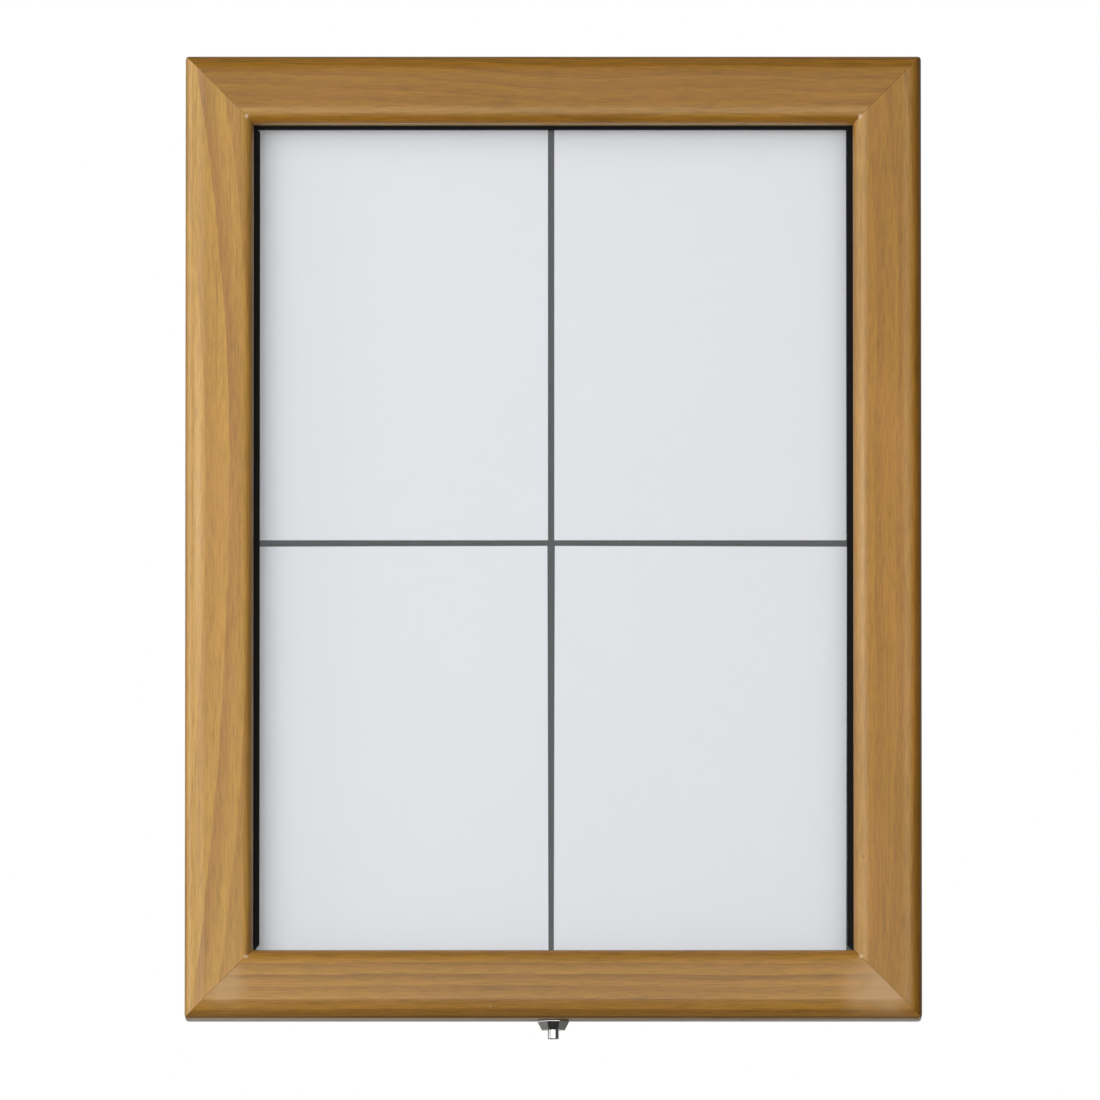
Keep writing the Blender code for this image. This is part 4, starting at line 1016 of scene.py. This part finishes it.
plated = bare_metal("plated_steel", (0.60, 0.60, 0.59, 1.0), 0.32, LEVEL_LINES)
for name, solid, body, way, first in (
    ("wall_leaf", "hinge_case_leaf", "case", 1, 1),
    ("door_leaf", "hinge_door_leaf", "door", -1, 0),
):
    inner_radius = KNUCKLE_RADIUS - LEAF_THICKNESS
    outline = [
        (KNUCKLE_RADIUS, LEAF_BOTTOM),
        *ellipse((0.0, 0.0), (KNUCKLE_RADIUS, KNUCKLE_RADIUS), 0, CURL_END, CURL_STEPS),
        *ellipse((0.0, 0.0), (inner_radius, inner_radius), CURL_END, 0, CURL_STEPS),
        (inner_radius, LEAF_BOTTOM),
    ]
    leaf = draw(name, [(way * x, y) for x, y in outline])
    run_out(-HINGE_HALF, HINGE_HALF)
    bpy.ops.object.mode_set(mode="OBJECT")
    leaf.matrix_world = Matrix.Translation((0.0, PIN_Y, PIN_Z)) @ LIE_ALONG_X
    apply_place()
    pitch = 2 * HINGE_HALF / KNUCKLES
    start = -HINGE_HALF + first * pitch - KNUCKLE_GAP / 2
    reach = KNUCKLE_RADIUS + FIT
    comb = box_shape("comb", (start, PIN_Y - reach, PIN_Z - reach),
                     (start + pitch + KNUCKLE_GAP, PIN_Y + reach, PIN_Z + reach))
    teeth = comb.modifiers.new("teeth", "ARRAY")
    teeth.count = (KNUCKLES + 1 - first) // 2
    teeth.use_relative_offset = False
    teeth.use_constant_offset = True
    teeth.constant_offset_displace = (2 * pitch, 0.0, 0.0)
    bpy.ops.object.modifier_apply(modifier=teeth.name)
    take_away(leaf, comb)
    finish_edges(leaf, LEAF_EASE, 1)
    fit(leaf, plated, body, "plated_steel", solid)

pin = rod_shape("long_pin", (-HINGE_HALF, PIN_Y, PIN_Z), (HINGE_HALF, PIN_Y, PIN_Z), PIN_RADIUS, 32)
finish_edges(pin, PIN_EASE, 3)
fit(pin, plated, "case", "plated_steel", "hinge_pin")


def blind_rivet(name, head, height, shank, length):
    """A blind rivet standing on z = 0: a low dome with the broken mandrel in its middle."""
    rivet = rod_shape(name, (0.0, 0.0, 0.0), (0.0, 0.0, height), head, HEAD_SIDES)
    dome = height * RIVET_DOME_SHARE
    edit(rivet)
    choose(rivet, faces_up(height))
    bpy.ops.mesh.bevel(offset=dome, segments=6, profile=0.5, affect="EDGES")
    choose(rivet, faces_up(height))
    for inset, rise in MANDREL:
        bpy.ops.mesh.inset(thickness=inset * (head - dome))
        bpy.ops.mesh.extrude_region_move(TRANSFORM_OT_translate={"value": (0.0, 0.0, rise * height)})
    choose(rivet, faces_down(0.0))
    bpy.ops.mesh.inset(thickness=head - shank)
    bpy.ops.mesh.extrude_region_move(TRANSFORM_OT_translate={"value": (0.0, 0.0, -length)})
    finish_edges(rivet)
    return rivet


rivet_metal = bare_metal("rivet_aluminium", (0.76, 0.76, 0.77, 1.0), 0.36)
rivet_length = plate_high.y - FIT - seat_of("hinge_rivet_1", FORWARD, RIVET[1]).y
rivet_pattern = blind_rivet("rivet", *RIVET, rivet_length)
screw_pattern = pan_screw("leaf_screw", *HINGE_SCREW)
for number in range(1, 5):
    solid = f"hinge_rivet_{number}"
    rivet = copy_to(rivet_pattern, f"leaf_rivet_{number}", solid, FORWARD, RIVET[1])
    fit(rivet, rivet_metal, "case", "rivet_aluminium", solid)
    solid = f"hinge_screw_{number}"
    screw = copy_to(screw_pattern, f"leaf_screw_{number}", solid, REARWARD, HINGE_SCREW[1])
    fit(screw, screw_steel, "door", "screw_steel", solid)
bpy.data.objects.remove(screw_pattern, do_unlink=True)


# The lock's body. An eight-sided chromed collar shows under the bottom rail, its threaded
# housing goes up through the rail's side wall, and a hexagon nut clamps it from inside.
COLLAR_SIDES = 8
COLLAR_TOP_FLATS = 0.0225
COLLAR_BOTTOM_FLATS = 0.0165
COLLAR_RIM = 0.0011
HOUSING_RADIUS = 0.006
BORE_RADIUS = 0.0043
COLLAR_HEIGHT = 0.0068
COLLAR_EASE = 0.00035
NUT_FLATS = 0.016
NUT_CHAMFER = 0.0006
NUT_ROUND_SHARE = 0.985
CHROME_PALE = (0.70, 0.70, 0.71, 1.0)
CHROME_DULL = (0.60, 0.60, 0.61, 1.0)


def corner_radius(flats, sides):
    return flats / 2 / math.cos(math.pi / sides)


chrome = Finish("chrome")
cloud = chrome.noise(chrome.place(), 130.0, 3.0)
pits = chrome.between(chrome.noise(chrome.place(), 1400.0), 0.70, 0.80)
chrome.surface(Base_Color=chrome.mix(CHROME_PALE, CHROME_DULL, pits * 0.6 + cloud * 0.3),
               Metallic=1.0, Roughness=0.10 + 0.08 * cloud + 0.15 * pits,
               Normal=chrome.bump(cloud, 0.05, 0.00005))

collar_end = body_low.z
rim_low = collar_end + COLLAR_HEIGHT - COLLAR_RIM
collar = rod_shape("collar", on_axis(collar_end), on_axis(rim_low),
                   corner_radius(COLLAR_BOTTOM_FLATS, COLLAR_SIDES), COLLAR_SIDES,
                   corner_radius(COLLAR_TOP_FLATS, COLLAR_SIDES))
edit(collar)
choose(collar, faces_up(rim_low))
bpy.ops.mesh.extrude_region_move(TRANSFORM_OT_translate={"value": (0.0, 0.0, COLLAR_RIM)})
finish_edges(collar, COLLAR_EASE, 3)
combine(collar, rod_shape("housing", on_axis(rim_low), on_axis(body_high.z), HOUSING_RADIUS), "UNION")
bore_ends = (on_axis(collar_end - COLLAR_RIM), on_axis(body_high.z + COLLAR_RIM))
take_away(collar, rod_shape("bore", *bore_ends, BORE_RADIUS))
finish_edges(collar)
fit(collar, chrome, "door", "chrome", "lock_body")

nut_ends = (on_axis(nut_low.z), on_axis(nut_high.z))
nut_radius = corner_radius(NUT_FLATS, 6)
nut = rod_shape("nut", *nut_ends, nut_radius, 6)
chamfer = rod_shape("chamfer", *nut_ends, nut_radius * NUT_ROUND_SHARE)
edit(chamfer)
choose(chamfer, lambda middle, normal: abs(normal.z) > 0.9)
bpy.ops.mesh.bevel(offset=NUT_CHAMFER, segments=1, affect="EDGES")
combine(nut, chamfer, "INTERSECT")
bore_ends = (on_axis(nut_low.z - COLLAR_RIM), on_axis(nut_high.z + COLLAR_RIM))
take_away(nut, rod_shape("bore", *bore_ends, HOUSING_RADIUS + FIT))
finish_edges(nut)
fit(nut, plated, "door", "plated_steel", "lock_nut")


# The lock's plug. The key turns a chromed stem with a keyway in its lower end. A square tang
# at its top carries the cam, which a screw holds, and the cam turns behind the keeper.
STEM_RADIUS = 0.004
STEM_EASE = 0.0007
KEYWAY = (0.0048, 0.0014, 0.004)
TANG = 0.005
CAM_HUB = 0.0055
CAM_WIDTH = 0.007
CAM_REACH = 0.0105
CAM_EASE = 0.00025
CAM_SCREW = (0.0040, 0.0018, 0.0012, 0.008)

stem_low, stem_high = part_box("lock_stem")
cam_low, cam_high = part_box("lock_cam")
stem = rod_shape("stem", on_axis(stem_low.z), on_axis(cam_low.z - FIT), STEM_RADIUS)
finish_edges(stem, STEM_EASE, 4)
tang_low = (-TANG / 2, LOCK_Y - TANG / 2, cam_low.z - CAM_REACH / 2)
combine(stem, box_shape("tang", tang_low, (TANG / 2, LOCK_Y + TANG / 2, stem_high.z)), "UNION")
keyway_low = (-KEYWAY[0] / 2, LOCK_Y - KEYWAY[1] / 2, stem_low.z - KEYWAY[1])
keyway_high = (KEYWAY[0] / 2, LOCK_Y + KEYWAY[1] / 2, stem_low.z + KEYWAY[2])
take_away(stem, box_shape("keyway", keyway_low, keyway_high))
finish_edges(stem)
fit(stem, chrome, "lock", "chrome", "lock_stem")

half = CAM_WIDTH / 2
meet = math.degrees(math.asin(half / CAM_HUB))
cam_outline = [
    *ellipse((0.0, LOCK_Y), (CAM_HUB, CAM_HUB), 90 + meet, 450 - meet, 40),
    *ellipse((0.0, LOCK_Y + CAM_REACH - half), (half, half), 0, 180, 18),
]
cam = draw("cam", cam_outline)
run_out(cam_low.z, cam_high.z)
bpy.ops.object.mode_set(mode="OBJECT")
hole = TANG / 2 + FIT
hole_low = (-hole, LOCK_Y - hole, cam_low.z - FIT)
take_away(cam, box_shape("hole", hole_low, (hole, LOCK_Y + hole, cam_high.z + FIT)))
finish_edges(cam, CAM_EASE)
fit(cam, plated, "lock", "plated_steel", "lock_cam")

cam_pattern = pan_screw("cam_head", *CAM_SCREW)
cam_screw = copy_to(cam_pattern, "cam_screw", "lock_cam_screw", UPWARD, CAM_SCREW[1])
bpy.data.objects.remove(cam_pattern, do_unlink=True)
fit(cam_screw, screw_steel, "lock", "screw_steel", "lock_cam_screw")


# The keeper. A strip of plated steel is bent to an L and riveted under the case's lower rim,
# left of the lock. Its flange ends in a finger, and the cam turns behind that to lock.
KEEPER_BEND = 0.0018
KEEPER_EASE = 0.0002

keeper_low, keeper_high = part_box("lock_keeper")
base_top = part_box("case_wall_bottom_left")[0].z - FIT
bend_middle = (keeper_low.y + KEEPER_BEND, base_top - SHEET + KEEPER_BEND)
keeper_outline = [
    (keeper_high.y, base_top - SHEET),
    *ellipse(bend_middle, (KEEPER_BEND, KEEPER_BEND), 270, 180, 8),
    (keeper_low.y, keeper_high.z),
    (keeper_low.y + SHEET, keeper_high.z),
    *ellipse(bend_middle, (KEEPER_BEND - SHEET, KEEPER_BEND - SHEET), 180, 270, 6),
    (keeper_high.y, base_top),
]
keeper = draw("keeper", keeper_outline)
run_out(keeper_low.x, keeper_high.x)
bpy.ops.object.mode_set(mode="OBJECT")
keeper.matrix_world = LIE_ALONG_X
apply_place()
notch_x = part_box("case_wall_bottom_left")[1].x
take_away(keeper, box_shape("finger_gap", (notch_x, keeper_low.y - SHEET, base_top - 2 * SHEET),
                            (0.0, keeper_high.y + SHEET, nut_high.z + 2 * FIT)))
finish_edges(keeper, KEEPER_EASE)
fit(keeper, plated, "case", "plated_steel", "lock_keeper")

keeper_rivet = copy_to(rivet_pattern, "rim_rivet", "keeper_rivet", UPWARD, RIVET[1])
bpy.data.objects.remove(rivet_pattern, do_unlink=True)
fit(keeper_rivet, rivet_metal, "case", "rivet_aluminium", "keeper_rivet")


# The mitre splines. A loose tongue of bare beech is glued into slots across each mitre, so
# the fixed solids stay and only get their finish.
BEECH_PALE = (0.60, 0.42, 0.25, 1.0)
BEECH_FLECK = (0.50, 0.33, 0.18, 1.0)

beech = Finish("beech")
fibre = beech.noise(beech.place(scale=(500.0, 500.0, 60.0), turn=(0.0, 0.8, 0.0)), 1.0, 3.0)
fleck = beech.between(beech.noise(beech.place(scale=(900.0, 900.0, 260.0)), 1.0), 0.62, 0.72)
beech.surface(Base_Color=beech.mix(BEECH_PALE, BEECH_FLECK, fibre * 0.6 + fleck * 0.4),
              Roughness=0.7 + 0.1 * (fibre - 0.5), Normal=beech.bump(fibre, 0.2, 0.00005))
for name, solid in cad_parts.items():
    if name.startswith("mitre_spline"):
        for part in solid.material_slots:
            part.material = beech.material
